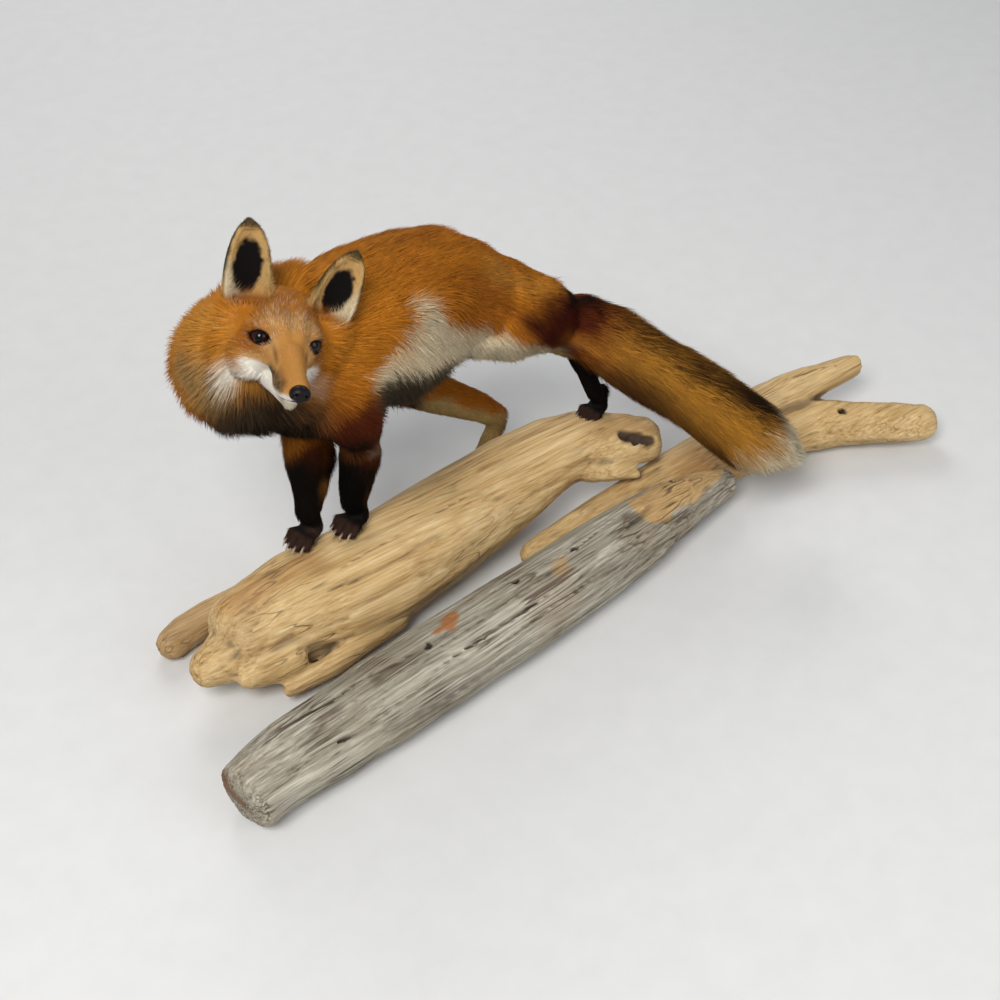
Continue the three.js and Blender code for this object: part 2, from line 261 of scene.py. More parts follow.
def linear(hexes):
    """A screen colour, #rrggbb, as the linear values shaders take."""
    c = np.array([int(hexes[i:i + 2], 16) / 255 for i in (1, 3, 5)])
    return np.where(c <= 0.04045, c / 12.92, ((c + 0.055) / 1.055) ** 2.4)


# ---- Lines through the body: each runs the way the coat lies, with the part it belongs to
# and the body's radius round it ----
BRUSH = np.array([(52, -33, 245), (84, -47, 224), (122, -82, 191), (155, -120, 166),
                  (193, -162, 128), (222, -186, 103), (240, -192, 92)], float)
BRUSH_RADII = (37, 42, 43, 43, 36, 24)
BRUSH_AIM = unit(np.array([40.0, -16, -22]))  # the way its end points
BONES = [
    ("trunk", (-262, -32, 318), (-215, -32, 322), 80),
    ("trunk", (-215, -32, 322), (-150, -20, 318), 78),
    ("trunk", (-150, -20, 318), (-92, -11, 313), 68),
    ("trunk", (-92, -11, 313), (-33, -13, 287), 58),
    ("trunk", (-33, -13, 287), (6, -25, 269), 50),
    ("rump", (6, -25, 269), (54, -32, 244), 40),
    ("ruff", (-292, -40, 345), (-262, -26, 310), 62),
    *[("tail", a, b, radius) for a, b, radius in zip(BRUSH, BRUSH[1:], BRUSH_RADII)],
    ("arm", (-234, -72, 306), (-204, -72, 246), 31),
    ("arm", (-238, 14, 298), (-234, -14, 240), 28),
    ("shin", (-204, -71, 242), (-204, -62, 200), 19),
    ("shin", (-204, -62, 200), (-207, -50, 130), 15),
    ("shin", (-237, -20, 232), (-240, -29, 196), 18),
    ("shin", (-240, -29, 196), (-252, -38, 128), 13),
    ("thigh", (22, -38, 268), (-70, -47, 281), 34),
    ("thigh", (12, 22, 258), (-88, 44, 186), 34),
    ("shank", (-68, -47, 276), (-20, -44, 256), 18),
    ("shank", (-20, -44, 256), (64, -30, 204), 15),
    ("shank", (-92, 44, 178), (-50, 42, 144), 24),
    ("shank", (-50, 42, 144), (20, 36, 88), 18),
    ("hock", (70, -30, 200), (96, -41, 134), 13),
    ("hock", (20, 35, 80), (-20, 28, 26), 12),
    ("paw", (-200, -48, 124), (-232, -60, 118), 13),
    ("paw", (-248, -37, 122), (-278, -49, 116), 13),
    ("paw", (104, -36, 116), (78, -45, 110), 11),
    ("paw", (-22, 27, 12), (-50, 23, 6), 11),
    ("head", from_head(np.array([58.0, 0, -26])), from_head(np.array([10.0, 0, -18])), 14),
    ("head", from_head(np.array([10.0, 0, -18])), from_head(np.array([-45.0, 0, -10])), 36),
    ("ear", from_head(np.array([-36.0, 39, 20])), from_head(np.array([-34.0, 50, 74])), 18),
    ("ear", from_head(np.array([-36.0, -33, 22])), from_head(np.array([-36.0, -44, 82])), 18),
]
PARTS = ["trunk", "rump", "ruff", "tail", "arm", "shin", "thigh", "shank", "hock", "paw", "head", "ear"]
# For each part: how far the skin lies inside the solids, its tufts' length and half width, their
# lift in degrees, and how thickly they are rooted.
TRAITS = ("depth", "length", "half", "lift", "density")
COAT = {
    "trunk": (6, 25, 0.56, 18, 0.42),
    "rump": (6, 24, 0.56, 18, 0.42),
    "ruff": (5, 33, 0.52, 17, 0.56),
    "tail": (11, 37, 0.62, 24, 0.52),
    "arm": (4.5, 16, 0.54, 20, 0.45),
    "shin": (0.4, 10, 0.46, 20, 0.55),
    "thigh": (6, 18, 0.56, 20, 0.42),
    "shank": (3, 13, 0.54, 20, 0.45),
    "hock": (1.5, 7, 0.45, 16, 0.50),
    "paw": (2, 4.5, 0.36, 14, 0.50),
    "head": (5, 8, 0.38, 16, 0.80),
    "ear": (1.5, 3.2, 0.32, 10, 0.80),
}


def coat_values(trait):
    return np.array([COAT[part][TRAITS.index(trait)] for part in PARTS])


def nearest_parts(p, sharp=5.0, directions=False):
    """How far each point belongs to each part, and with directions, the way the bones run there."""
    near = []
    for _, a, b, radius in BONES:
        d, _ = segment(p, a, b)
        near.append(d / radius)
    near = np.stack(near, axis=-1)
    w = np.exp(-sharp * (near - near.min(axis=-1, keepdims=True)))
    w /= w.sum(axis=-1, keepdims=True)
    share = np.zeros(p.shape[:-1] + (len(PARTS),), np.float32)
    for i, (part, *_) in enumerate(BONES):
        share[..., PARTS.index(part)] += w[..., i]
    if not directions:
        return share
    along = unit(np.array([np.subtract(b, a) for _, a, b, _ in BONES], float))
    return share, w @ along


# ---- The head and feet, as fields in their own frames ----
def eye_frame(side):
    """Centre of an eyeball, the way it looks, the way to its outer corner, and up across it."""
    out = unit(np.array([0.89, 0.42 * side, 0.12]))
    centre = EYE_AT * [1, side, 1] - 1.6 * out
    wide = unit(np.cross([0, 0, 1.0], out)) * side
    wide = unit(wide + [0, 0, 0.10])
    return centre, out, wide, np.cross(out, wide) * side


LID_HALF, LID_ABOVE, LID_BELOW = 9.0, 5.0, 4.2  # half the almond's length, and its reach up and down


def lid_opening(p, side):
    """Below zero inside the almond between the lids, seen along the way the eye looks."""
    centre, out, wide, high = eye_frame(side)
    q = p - centre
    h, v, a = q @ wide, q @ high, q @ out
    v = v + 0.10 * h  # the inner corner sits lower
    bow = np.clip(1 - (h / LID_HALF) ** 2, 0, 1) ** 0.75
    edge = np.where(v > 0, LID_ABOVE * bow, LID_BELOW * bow)
    return np.maximum(np.maximum(np.abs(v) - edge, np.abs(h) - LID_HALF), -a)


def ear_axes(name):
    """Directions across an ear, ahead from it and along it."""
    base, tip = EARS[name]
    axis = unit(tip - base)
    ahead = unit(np.array([1.0, 0, 0]) - axis[0] * axis)
    return np.cross(ahead, axis), ahead, axis


def ear_coordinates(p, name):
    """Across, ahead and along an ear, the last 0 at its base and 1 at its tip."""
    base, tip = EARS[name]
    across, ahead, axis = ear_axes(name)
    q = p - base
    return q @ across, q @ ahead, (q @ axis) / np.linalg.norm(tip - base)


def ear_width(t):
    """Half the ear's width at t along it: widest above its base, and rounded off at its tip."""
    return EAR_HALF * np.sqrt(np.clip(1.03 - 0.97 * t, 0.02, 1)) * (0.85 + 0.6 * t)


def ear_field(p, name):
    """An ear's outside, and the hollow of its cup."""
    u, a, t = ear_coordinates(p, name)
    tc = np.clip(t, 0, 1.06)
    wide = ear_width(tc) - 1.5
    deep = EAR_DEPTH * (1 - 0.72 * tc) - 0.6
    length = np.linalg.norm(EARS[name][1] - EARS[name][0])
    cup = 0.012 * u * u  # the rims come forward of the middle
    rho = np.sqrt((u / wide) ** 2 + ((a - cup * 0.3) / deep) ** 2)
    shell = (rho - 1) * np.minimum(wide, deep * 1.6)
    over = np.maximum(t - 1.04, 0) * length
    shell = np.maximum(shell, (t - 1.06) * length) + 0.2 * over
    wide_in, deep_in = wide - 3.4, deep + 1.0
    ahead = 0.5 * deep + 2.6
    rho = np.sqrt((u / np.maximum(wide_in, 0.5)) ** 2 + ((a - ahead) / deep_in) ** 2)
    hollow = (rho - 1) * np.minimum(wide_in, deep_in)
    hollow = np.maximum(hollow, (t - 0.95) * length)
    hollow = np.maximum(hollow, (0.02 - t) * length)
    return shell, hollow


def both_sides(p):
    """Places in the head with its right half laid over its left."""
    return np.stack([p[..., 0], np.abs(p[..., 1]), p[..., 2]], axis=-1)


def head_field(p):
    m = both_sides(p)
    f = ball(p, (-37, 0, -3), (38, 36, 34))
    f = melt(f, ball(p, (-10, 0, 3), (23, 21, 20)), 12)
    f = melt(f, ball(m, (-26, 20, -20), (28, 18, 23)), 10)
    snout = cone(p, (-8, 0, -6), (22, 0, -16), 19, 13.2)
    snout = melt(snout, cone(p, (20, 0, -16), (55, 0, -23.5), 13.2, 9.6), 6)
    snout = melt(snout, cone(p, (2, 0, 3), (60, 0, -18.5), 9, 5.6), 6)
    snout = melt(snout, ball(m, (40, 6.6, -26), (19, 8.0, 8.6)), 5)
    f = melt(f, snout, 9)
    f = melt(f, cone(p, (-16, 0, -33), (47, 0, -37), 14, 5.6), 5)
    f = melt(f, ball(m, (-3, 15, -10), (18, 10, 12)), 8)  # cheekbone, under the eye
    f = melt(f, ball(m, (-9, 20, 9), (13, 9, 6)), 6)  # brow
    f = melt(f, ball(m, (-15, 25, -1), (10, 7, 9)), 6)  # behind the eye
    f = melt(f, cone(p, (-40, 0, -12), (-78, 8, -46), 31, 36), 14)
    f = carve(f, cone(p, (-4, 0, 27), (16, 0, 10), 5, 2.5), 9)  # the stop's furrow
    # Lids: a shell over each eyeball, opened by the almond
    from_eye = {side: np.linalg.norm(p - eye_frame(side)[0], axis=-1) for side in (1, -1)}
    for side in (1, -1):
        f = melt(f, from_eye[side] - (EYE_R + 1.4), 4.0)
    crease = np.abs(np.linalg.norm(m - (EYE_AT + [0, 0, 1.5]), axis=-1) - 13.2)
    above = smooth(1, 7, m[..., 2] - EYE_AT[2])
    f = f + 1.0 * np.exp(-(crease / 1.6) ** 2) * above
    for side in (1, -1):
        f = carve(f, np.maximum(lid_opening(p, side), 4 - from_eye[side]), 1.2)
    # The mouth: a groove along each lip, and one down from the nose
    for a, b in zip(LIPS, LIPS[1:]):
        d, _ = segment(m, a, b)
        f = carve(f, d - 0.8, 1.6)
    d, _ = segment(p, (67, 0, -27), (62, 0, -33))
    f = carve(f, d - 1.0, 1.4)
    for name in EARS:
        shell, hollow = ear_field(p, name)
        f = melt(f, shell, 7)
        f = carve(f, hollow, 2.0)
    return f


PAWS = {  # where each foot stands, the way its toes point, and its size
    "forefoot_left": ((-207, -51, 111), 202, 0.88),
    "forefoot_right": ((-253, -40, 109), 202, 0.88),
    "hindfoot_left": ((100, -38, 105), 198, 0.80),
    "hindfoot_right": ((-26, 27, -1), 188, 0.80),
}
TOES = [(15.5, 11.6), (20.5, 4.3), (20.5, -4.3), (15.5, -11.6)]


def paw_field(p):
    f = ball(p, (1, 0, 9.5), (16, 12.5, 9.5))
    f = melt(f, cone(p, (-6, 0, 12), (-5, 0, 34), 10.5, 10), 6)
    for x, y in TOES:
        toe = cone(p, (4, 0.6 * y, 11), (x - 2, 1.04 * y, 11.2), 4.6, 5.3)
        toe = melt(toe, cone(p, (x - 2, 1.04 * y, 11.2), (x + 5.5, 1.1 * y, 6.2), 5.0, 4.6), 1.5)
        f = melt(f, toe, 1.0)
    return np.maximum(f, 0.4 - p[..., 2])


# The CAD nodes that the skin stands in for
FLESH = [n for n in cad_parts
         if not n.endswith(("log", "branch")) and not n.startswith(("eye", "nose")) and "claw" not in n]


def along_tail(p):
    """0 at the root of the brush to 1 at its end, and how far a point is above its middle."""
    best, t_best, above = np.full(p.shape[:-1], 1e9), np.zeros(p.shape[:-1]), np.zeros(p.shape[:-1])
    run = 0.0
    total = np.linalg.norm(np.diff(BRUSH, axis=0), axis=1).sum()
    for a, b in zip(BRUSH, BRUSH[1:]):
        d, t = segment(p, a, b)
        span = np.linalg.norm(b - a)
        middle = a + t[..., None] * (b - a)
        high = unit(np.array([0, 0, 1.0]) - unit(b - a) * unit(b - a)[2])
        closer = d < best
        best = np.where(closer, d, best)
        t_best = np.where(closer, (run + t * span) / total, t_best)
        above = np.where(closer, ((p - middle) @ high) / np.maximum(d, 1), above)
        run += span
    return t_best, above


def body_skin():
    """The body's skin: the flesh nodes closed into one, drawn in by the depth of the coat."""
    step = 3.0
    low = np.array([-400.0, -280, -30])
    size = (238, 136, 180)
    points, faces = node_shapes([n for n in FLESH if "foot" not in n])
    near = distances(points, faces, step, low, size, 4 * step)
    points, quads = surface(near, low, step, level=0.8)
    field = distances(points, quads, step, low, size, 15 * step) + 0.8
    band = np.abs(field) < 44
    depth = np.zeros(size, np.float32)
    where = grid_points(low, size, step)[band]
    share = nearest_parts(where, sharp=7.0)
    depths = coat_values("depth").astype(np.float32)
    for part, deeper in (("head", 16), ("ear", 14), ("ruff", 9)):  # well inside the head's own skin
        depths[PARTS.index(part)] = deeper
    brush_end = share[:, PARTS.index("tail")] * smooth(0.80, 1.0, along_tail(where)[0])
    depth[band] = share @ depths + 8 * brush_end
    field = field + depth
    return surface(blur(field, 1.0), low, step)


def head_skin():
    step = 1.15
    low, size = np.array([-92.0, -70, -66]), (142, 128, 136)
    points, quads = surface(blur(head_field(grid_points(low, size, step)), 0.55), low, step)
    return from_head(points), quads


def paw_skin(name):
    step = 1.3
    at, yaw, size = PAWS[name]
    low = np.array([-22.0, -24, -3])
    points, quads = surface(paw_field(grid_points(low, (46, 37, 36), step)), low, step)
    return (points * size) @ turn("Z", yaw).T + np.array(at), quads


def merged(name, pieces):
    """Closed pieces joined into one surface."""
    objs = [make_object(f"{name}_{i}", p, q) for i, (p, q) in enumerate(pieces)]
    whole = objs[0]
    for other in objs[1:]:
        join = whole.modifiers.new("join", "BOOLEAN")
        join.operation, join.object, join.solver = "UNION", other, "MANIFOLD"
        bpy.context.view_layer.update()
        baked = bpy.data.meshes.new_from_object(whole.evaluated_get(bpy.context.evaluated_depsgraph_get()))
        whole.modifiers.clear()
        old, whole.data = whole.data, baked
        bpy.data.meshes.remove(old)
        bpy.data.objects.remove(other)
    whole.name = whole.data.name = name
    return whole


skin = merged("skin", [body_skin(), head_skin(), *[paw_skin(n) for n in PAWS]])
skin.data.uv_layers.new(name="OFBake")
bpy.context.view_layer.objects.active = skin
skin.select_set(True)
bpy.ops.object.mode_set(mode="EDIT")
bpy.ops.mesh.select_all(action="SELECT")
bpy.ops.mesh.quads_convert_to_tris()
bpy.ops.uv.smart_project(angle_limit=math.radians(70), island_margin=0.002)
bpy.ops.object.mode_set(mode="OBJECT")
skin.select_set(False)

# ---- Colours of the coat, shared by the skin and the tufts over it ----
C = {name: linear(code) for name, code in {
    "back": "#b3701f", "flank": "#9f5d16", "shoulder": "#b06d1c", "rust": "#74380d",
    "ruff": "#b27d36", "leg": "#93540f", "gold": "#9c6a24", "elbow": "#54220a",
    "maroon": "#380e05", "brown": "#43230e", "umber": "#2c1709", "soot": "#0c0806",
    "white": "#c3b292", "pale": "#978869", "cream": "#cdc1a3", "straw": "#a08453",
    # The second colour in the next row is used only as painted shade: under the jaw and belly, on the throat
    # and chest, and on the far shank.
    "smoke": "#776849", "deep_shade": "#2b2116", "toe": "#33221a", "crown": "#8f5216",
    "frost": "#c49a60", "bridge": "#b98140", "snow": "#e6dfd1", "ash": "#4f402d",
    "lip": "#0d0908", "tear": "#633616", "rim": "#b99a62",
}.items()}

# Edges between markings, each as places along one axis and the height or reach there
CHEEK_EDGE = ([-30, -12, 0, 8, 16, 26, 40, 55], [-29, -24, -18.5, -18, -21.5, -26.5, -29, -30])
WHITE_TOP = ([-227, -184, -170, -158, -139, -129, -116, -106, -69, -37, 2, 32],
             [323, 337, 361, 366, 365, 357, 339, 327, 303, 281, 253, 235])
WHITE_FRONT = ([290, 323, 331, 337, 347, 361], [-203, -202, -182, -162, -152, -148])
# The top edge of the painted shade along the underside of the trunk, at places along x; it lies lower on the
# far half.
BELLY_SHADE_TOP = ([-210, -204, -189, -171, -155, -141, -120, -84, -58, -20],
            [290, 297, 309, 311, 306, 292, 297, 266, 252, 226])
# Painted shade in the crease between the thigh and the rump, drawn as a dark line: from, to, radius and
# softness
THIGH_CREASE_SHADE = [((-60, -64, 322), (-39, -64, 318), 5, 5), ((-39, -64, 318), (-5, -68, 281), 8, 6),
              ((-5, -68, 281), (14, -67, 256), 7, 6), ((14, -67, 256), (45, -52, 221), 9, 7)]


def plain(name, p):
    return np.broadcast_to(C[name], p.shape)


def layers(colour, *coats):
    """A colour with others painted over it in turn, each a name and its amount from 0 to 1."""
    for name, amount in coats:
        colour = colour + (C[name] - colour) * np.clip(amount, 0, 1)[..., None]
    return colour


def spot(p, a, b, radius, soft):
    """1 near the line from a to b, falling to 0 outside it."""
    d, _ = segment(p, a, b)
    return smooth(radius + soft, radius - soft, d)


def head_colour(h, wiggle):
    m = both_sides(h)
    x, s, z = m[..., 0], m[..., 1], m[..., 2]
    edge = np.interp(x, *CHEEK_EDGE)
    low = smooth(2.5, -2.5, z - edge + 2.5 * wiggle)
    crown = smooth(34, 14, z) * smooth(34, 12, s) * smooth(-34, -8, x)
    return layers(
        plain("crown", h),
        ("frost", (0.6 + 0.3 * wiggle) * crown),
        ("bridge", smooth(2, 16, x) * smooth(16, 8, s)),
        ("frost", 0.5 * spot(m, (-2, 20, 12), (-16, 28, 6), 5, 4)),
        ("frost", 0.6 * smooth(9, 0, z - edge) * smooth(-30, -10, x)),
        ("snow", low * smooth(-34, -20, x + 3 * wiggle)),
        ("pale", 0.6 * low * smooth(-26, -44, x)),
        ("ash", spot(m, (20, 14.5, -22), (51, 12.5, -23.5), 5.6, 3.6) * (0.85 + 0.35 * noise(h, 2.6, 37))),
        ("pale", 0.7 * smooth(-34, -36.5, z) * smooth(25, 45, x)),
        # painted shade under the jaw
        ("deep_shade", 0.95 * smooth(-40, -47, z) * smooth(38, 24, x) * smooth(30, 18, s)),
        ("tear", 0.7 * spot(m, (11, 14, -2), (27, 11.5, -12), 1.8, 1.8)),
        ("tear", 0.7 * spot(m, (-11, 28, 0), (-19, 34, 3), 1.6, 1.8)),
        ("tear", 0.35 * spot(m, (34, 11, -14), (56, 9.5, -20), 2.4, 2.4)),
        *[("lip", smooth(2.6, 1.3, lid_opening(h, side)) * (x > -16)) for side in (1, -1)],
        *[("lip", spot(m, a, b, 2.0, 1.0)) for a, b in zip(LIP_EDGE, LIP_EDGE[1:])],
        ("lip", spot(h, (70, -1, -27), (62, -2, -34), 3.6, 1.0)),
        ("lip", 0.9 * spot(h, (66, 0, -22), (66, 0, -26), 6.5, 1.4)))


def ear_colour(h, wiggle):
    c = np.zeros(h.shape)
    for name, side in EAR_SIDES:
        u, a, t = ear_coordinates(h, name)
        _, hollow = ear_field(h, name)
        wide = ear_width(np.clip(t, 0, 1.05))
        reach = np.abs(u) / wide
        behind = smooth(1.0, -3.0, a)
        edge = reach + 0.05 * wiggle + 0.05 * noise(h, 3.0, 34)
        cup = smooth(2.6, 0.9, hollow)
        ragged = 0.10 * wiggle + 0.10 * noise(h, 3.2, 33)
        pit = np.hypot((u / wide + 0.02 * side) / (0.42 + 0.34 * t), (t - 0.44) / 0.38) + ragged
        pit = smooth(1.14, 0.86, pit)
        toward_crown = smooth(0.2, -0.4, u * side / wide)
        k = layers(
            plain("rim", h),
            ("crown", smooth(0.35, 0.0, t)),
            ("brown", behind * smooth(0.1, 0.4, t)),
            ("soot", behind * smooth(0.3, 0.6, t + 0.1 * wiggle)),
            ("soot", 0.85 * smooth(0.90, 1.0, t + 0.04 * wiggle)
             + 0.9 * smooth(0.76, 0.88, edge) * smooth(0.15, 0.5, t)),
            ("frost", (0.7 + 0.3 * wiggle) * cup * smooth(0.95, 0.6, reach)),
            ("brown", 0.45 * cup * smooth(0.2, 0.9, noise(h, 4.5, 35))),
            ("soot", cup * pit),
            ("cream", 0.8 * cup * toward_crown * smooth(0.7, 0.3, t) * (1 - pit)))
        c = np.where((h[..., 1] * side > 0)[..., None], k, c)
    return c


def leg_colours(p, n, wiggle, white):
    """The colour of each part of the legs, in the order they are laid on."""
    x, y, z = p[..., 0], p[..., 1], p[..., 2]
    aft, up = n[..., 0], n[..., 2]
    near, far = y < 0, y > 0
    behind = smooth(0.1, 0.7, aft + 0.15 * wiggle)
    shin = layers(
        plain("soot", p),
        ("brown", 0.95 * behind * smooth(128, 160, z)),
        ("elbow", 0.85 * smooth(172, 236, z + 9 * wiggle) * smooth(-0.9, 0.1, aft + 0.015 * (z - 215))),
        ("gold", 0.75 * behind * smooth(-222, -236, x) * smooth(150, 175, z)))
    # The thigh is lighter where it faces up: partly its own colour, partly painted light from above.
    thigh = layers(plain("flank", p), ("back", smooth(0.2, 0.8, up)), ("leg", smooth(-10, 10, y)),
                   ("white", white))
    shank = layers(
        plain("leg", p),
        ("straw", smooth(0.35, -0.15, up + 0.2 * wiggle)),
        ("cream", near * smooth(30, 0, x)),
        ("straw", far * smooth(-10, 12, x) * smooth(110, 95, z) * 0.8 * smooth(0.7, 0.2, aft)),
        # painted shade on the far shank, next to the belly
        ("deep_shade", far * smooth(-70, -92, x)),
        ("soot", near * smooth(44, 66, x)))
    hock = layers(plain("soot", p), ("straw", far * smooth(30, 55, z) * 0.9))
    toes = np.zeros(p.shape[:-1])
    for at, yaw, size in PAWS.values():
        q = p - np.array(at)
        ahead = (q @ turn("Z", yaw))[..., 0] / size
        toes = np.maximum(toes, smooth(11, 17, ahead) * smooth(60, 45, np.linalg.norm(q, axis=-1)))
    paw = layers(plain("soot", p), ("toe", toes), ("umber", 0.6 * toes * smooth(0.1, 0.9, wiggle)))
    return {"shin": shin, "thigh": thigh, "shank": shank, "hock": hock, "paw": paw}


def brush_colour(p, wiggle):
    t, above = along_tail(p)
    return layers(
        plain("gold", p),
        ("umber", 0.5 * smooth(0.8, 1.0, above + 0.15 * wiggle)),
        # painted shade: the underside of the brush is darker
        ("umber", 0.85 * smooth(-0.15, -0.75, above + 0.3 * wiggle)),
        ("umber", 0.4 * smooth(0.15, 0.8, noise(p, 24, 36)) * smooth(0.7, 0.5, t)),
        ("maroon", 0.8 * smooth(0.20, 0.05, t + 0.05 * wiggle) * smooth(-0.2, 0.4, above)),
        ("rust", 0.5 * smooth(0.3, 0.1, t + 0.05 * wiggle)),
        ("umber", 0.8 * spot(p, (84, -84, 196), (112, -118, 172), 15, 12)),
        ("umber", 0.6 * spot(p, (130, -128, 160), (160, -160, 128), 16, 12) * (0.8 + 0.3 * wiggle)),
        ("soot", 0.9 * spot(p, (184, -152, 176), (214, -176, 152), 13, 9) * smooth(0.86, 0.80, t)),
        ("cream", smooth(0.80, 0.96, t + 0.08 * wiggle)))


def markings(p, n, share):
    """The coat's colour at points p of the skin, with outward normals n."""
    x, y, z = p[..., 0], p[..., 1], p[..., 2]
    aft, up = n[..., 0], n[..., 2]
    wiggle = noise(p, 14, 1) + 0.5 * noise(p, 6, 2)
    part = {k: share[..., i] for i, k in enumerate(PARTS)}
    # Trunk and rump
    top = np.interp(x, *WHITE_TOP)
    fore = np.interp(z, *WHITE_FRONT)
    white = smooth(5, -6, z - top + 4 * wiggle) * smooth(-5, 6, x - fore + 4 * wiggle) * smooth(200, 220, z)
    bottom = np.interp(x, *BELLY_SHADE_TOP) - 16 * (y > -10)
    c = layers(
        plain("flank", p),
        # lighter where the coat faces up: partly its own colour, partly painted light from above
        ("back", 0.75 * smooth(0.2, 0.95, up + 0.12 * wiggle)),
        ("shoulder", 0.8 * smooth(-150, -200, x) * smooth(0.9, 0.2, up) * smooth(300, 350, z)),
        ("rust", 0.45 * smooth(0.7, 1.0, up + 0.2 * wiggle) * smooth(-190, -120, x)),
        ("rust", 0.55 * spot(p, (-112, -66, 378), (-46, -58, 336), 14, 16)),
        ("ruff", 0.7 * spot(p, (-40, -46, 345), (16, -50, 312), 12, 14)),
        ("white", white),
        ("pale", 0.35 * white * smooth(-110, -40, x)),
        ("rust", 0.6 * part["rump"] * smooth(30, 60, x)),
        ("rust", 0.5 * smooth(26, 0, z - top) * smooth(-110, -70, x) * (1 - white)),
        # painted shade along the underside of the trunk
        ("deep_shade", 0.95 * smooth(3, -5, z - bottom + 5 * wiggle) * smooth(0.2, 0.5, part["trunk"])))
    # Ruff
    ruff = layers(plain("ruff", p), ("back", 0.5 - 0.5 * wiggle), ("flank", smooth(-262, -235, x)))
    c = mix(c, ruff, smooth(0.25, 0.7, part["ruff"] * smooth(-205, -245, x))[..., None])
    # Legs
    arm = layers(
        plain("elbow", p),
        ("flank", smooth(300, 326, z + 6 * wiggle)),
        ("rust", 0.8 * smooth(285, 305, z + 6 * wiggle)),
        ("soot", 0.85 * smooth(282, 250, z + 5 * wiggle) * smooth(0.5, -0.3, aft)))
    low_chest = smooth(-192, -204, x) * smooth(308, 294, z + 5 * wiggle) * smooth(-60, -78, y)
    low_chest = low_chest * (part["trunk"] + part["ruff"])
    c = mix(c, arm, np.clip(smooth(0.25, 0.65, part["arm"]) + low_chest, 0, 1)[..., None])
    dark_leg = part["hock"] + part["paw"] + part["shin"] * smooth(215, 180, z)
    c = layers(c, ("soot", smooth(0.15, 0.4, dark_leg)))
    for name, colour in leg_colours(p, n, wiggle, white).items():
        c = mix(c, colour, smooth(0.3, 0.7, part[name])[..., None])
    # Brush, and the dark hair round its root
    c = mix(c, brush_colour(p, wiggle), smooth(0.3, 0.65, part["tail"])[..., None])
    crease_shade = sum(spot(p, *stretch) for stretch in THIGH_CREASE_SHADE)
    # Under the face: white behind the mouth, then grey, then painted shade on the throat and chest
    h = to_head(p)
    m = both_sides(h)
    collar = smooth(-236, -256, x)
    near = collar * np.where(h[..., 1] > 0, 0.4, 1.0)  # less white on the cheek turned away
    c = layers(
        c,
        # painted shade in the crease between the thigh and the rump
        ("maroon", 0.95 * crease_shade * (0.9 + 0.2 * wiggle)),
        ("maroon", spot(p, (16, -66, 282), (64, -54, 264), 23, 9) * (0.95 + 0.2 * wiggle)),
        ("soot", spot(p, (50, -38, 288), (78, -42, 272), 14, 7)),
        ("smoke", 0.85 * near * spot(m, (-56, 66, -56), (-30, 42, -64), 21, 14) * (0.85 + 0.3 * wiggle)),
        # painted shade on the throat and chest under the ruff
        ("deep_shade", 0.95 * collar * spot(p, (-330, -72, 306), (-268, -66, 276), 27, 11)),
        ("deep_shade", 0.95 * collar * spot(p, (-322, -84, 328), (-272, -84, 306), 20, 8)),
        ("deep_shade", 0.95 * collar * spot(h, (-24, -8, -66), (-20, 14, -62), 18, 8)),
        ("snow", 0.85 * near * spot(m, (-24, 39, -40), (-5, 27, -45), 10, 6) * (0.9 + 0.3 * wiggle)))
    # Head and ears
    ears = part["ear"] * smooth(10, 22, h[..., 2])
    c = mix(c, head_colour(h, wiggle), smooth(0.35, 0.75, part["head"] + ears)[..., None])
    inside = np.zeros(p.shape[:-1])
    for name, _ in EAR_SIDES:
        shell, _ = ear_field(h, name)
        _, _, t = ear_coordinates(h, name)
        inside = np.maximum(inside, smooth(5, 2.5, shell) * smooth(0.02, 0.2, t))
    return mix(c, ear_colour(h, wiggle), inside[..., None])


points = mesh_points(skin)
normals = np.zeros(len(points) * 3, np.float32)
skin.data.vertex_normals.foreach_get("vector", normals)
normals = normals.reshape(-1, 3)
share = nearest_parts(points)
paint(skin, "coat", markings(points, normals, share) * SKIN_SHADE)

# ---- Materials ----
def shader(name, settings=()):
    """A material's shader, with constant settings, and a short way to add nodes to it."""
    m = bpy.data.materials.new(name)
    m.use_nodes = True
    bsdf = m.node_tree.nodes["Principled BSDF"]
    for socket, value in dict(settings).items():
        bsdf.inputs[socket].default_value = value
    return m, Nodes(m.node_tree), bsdf


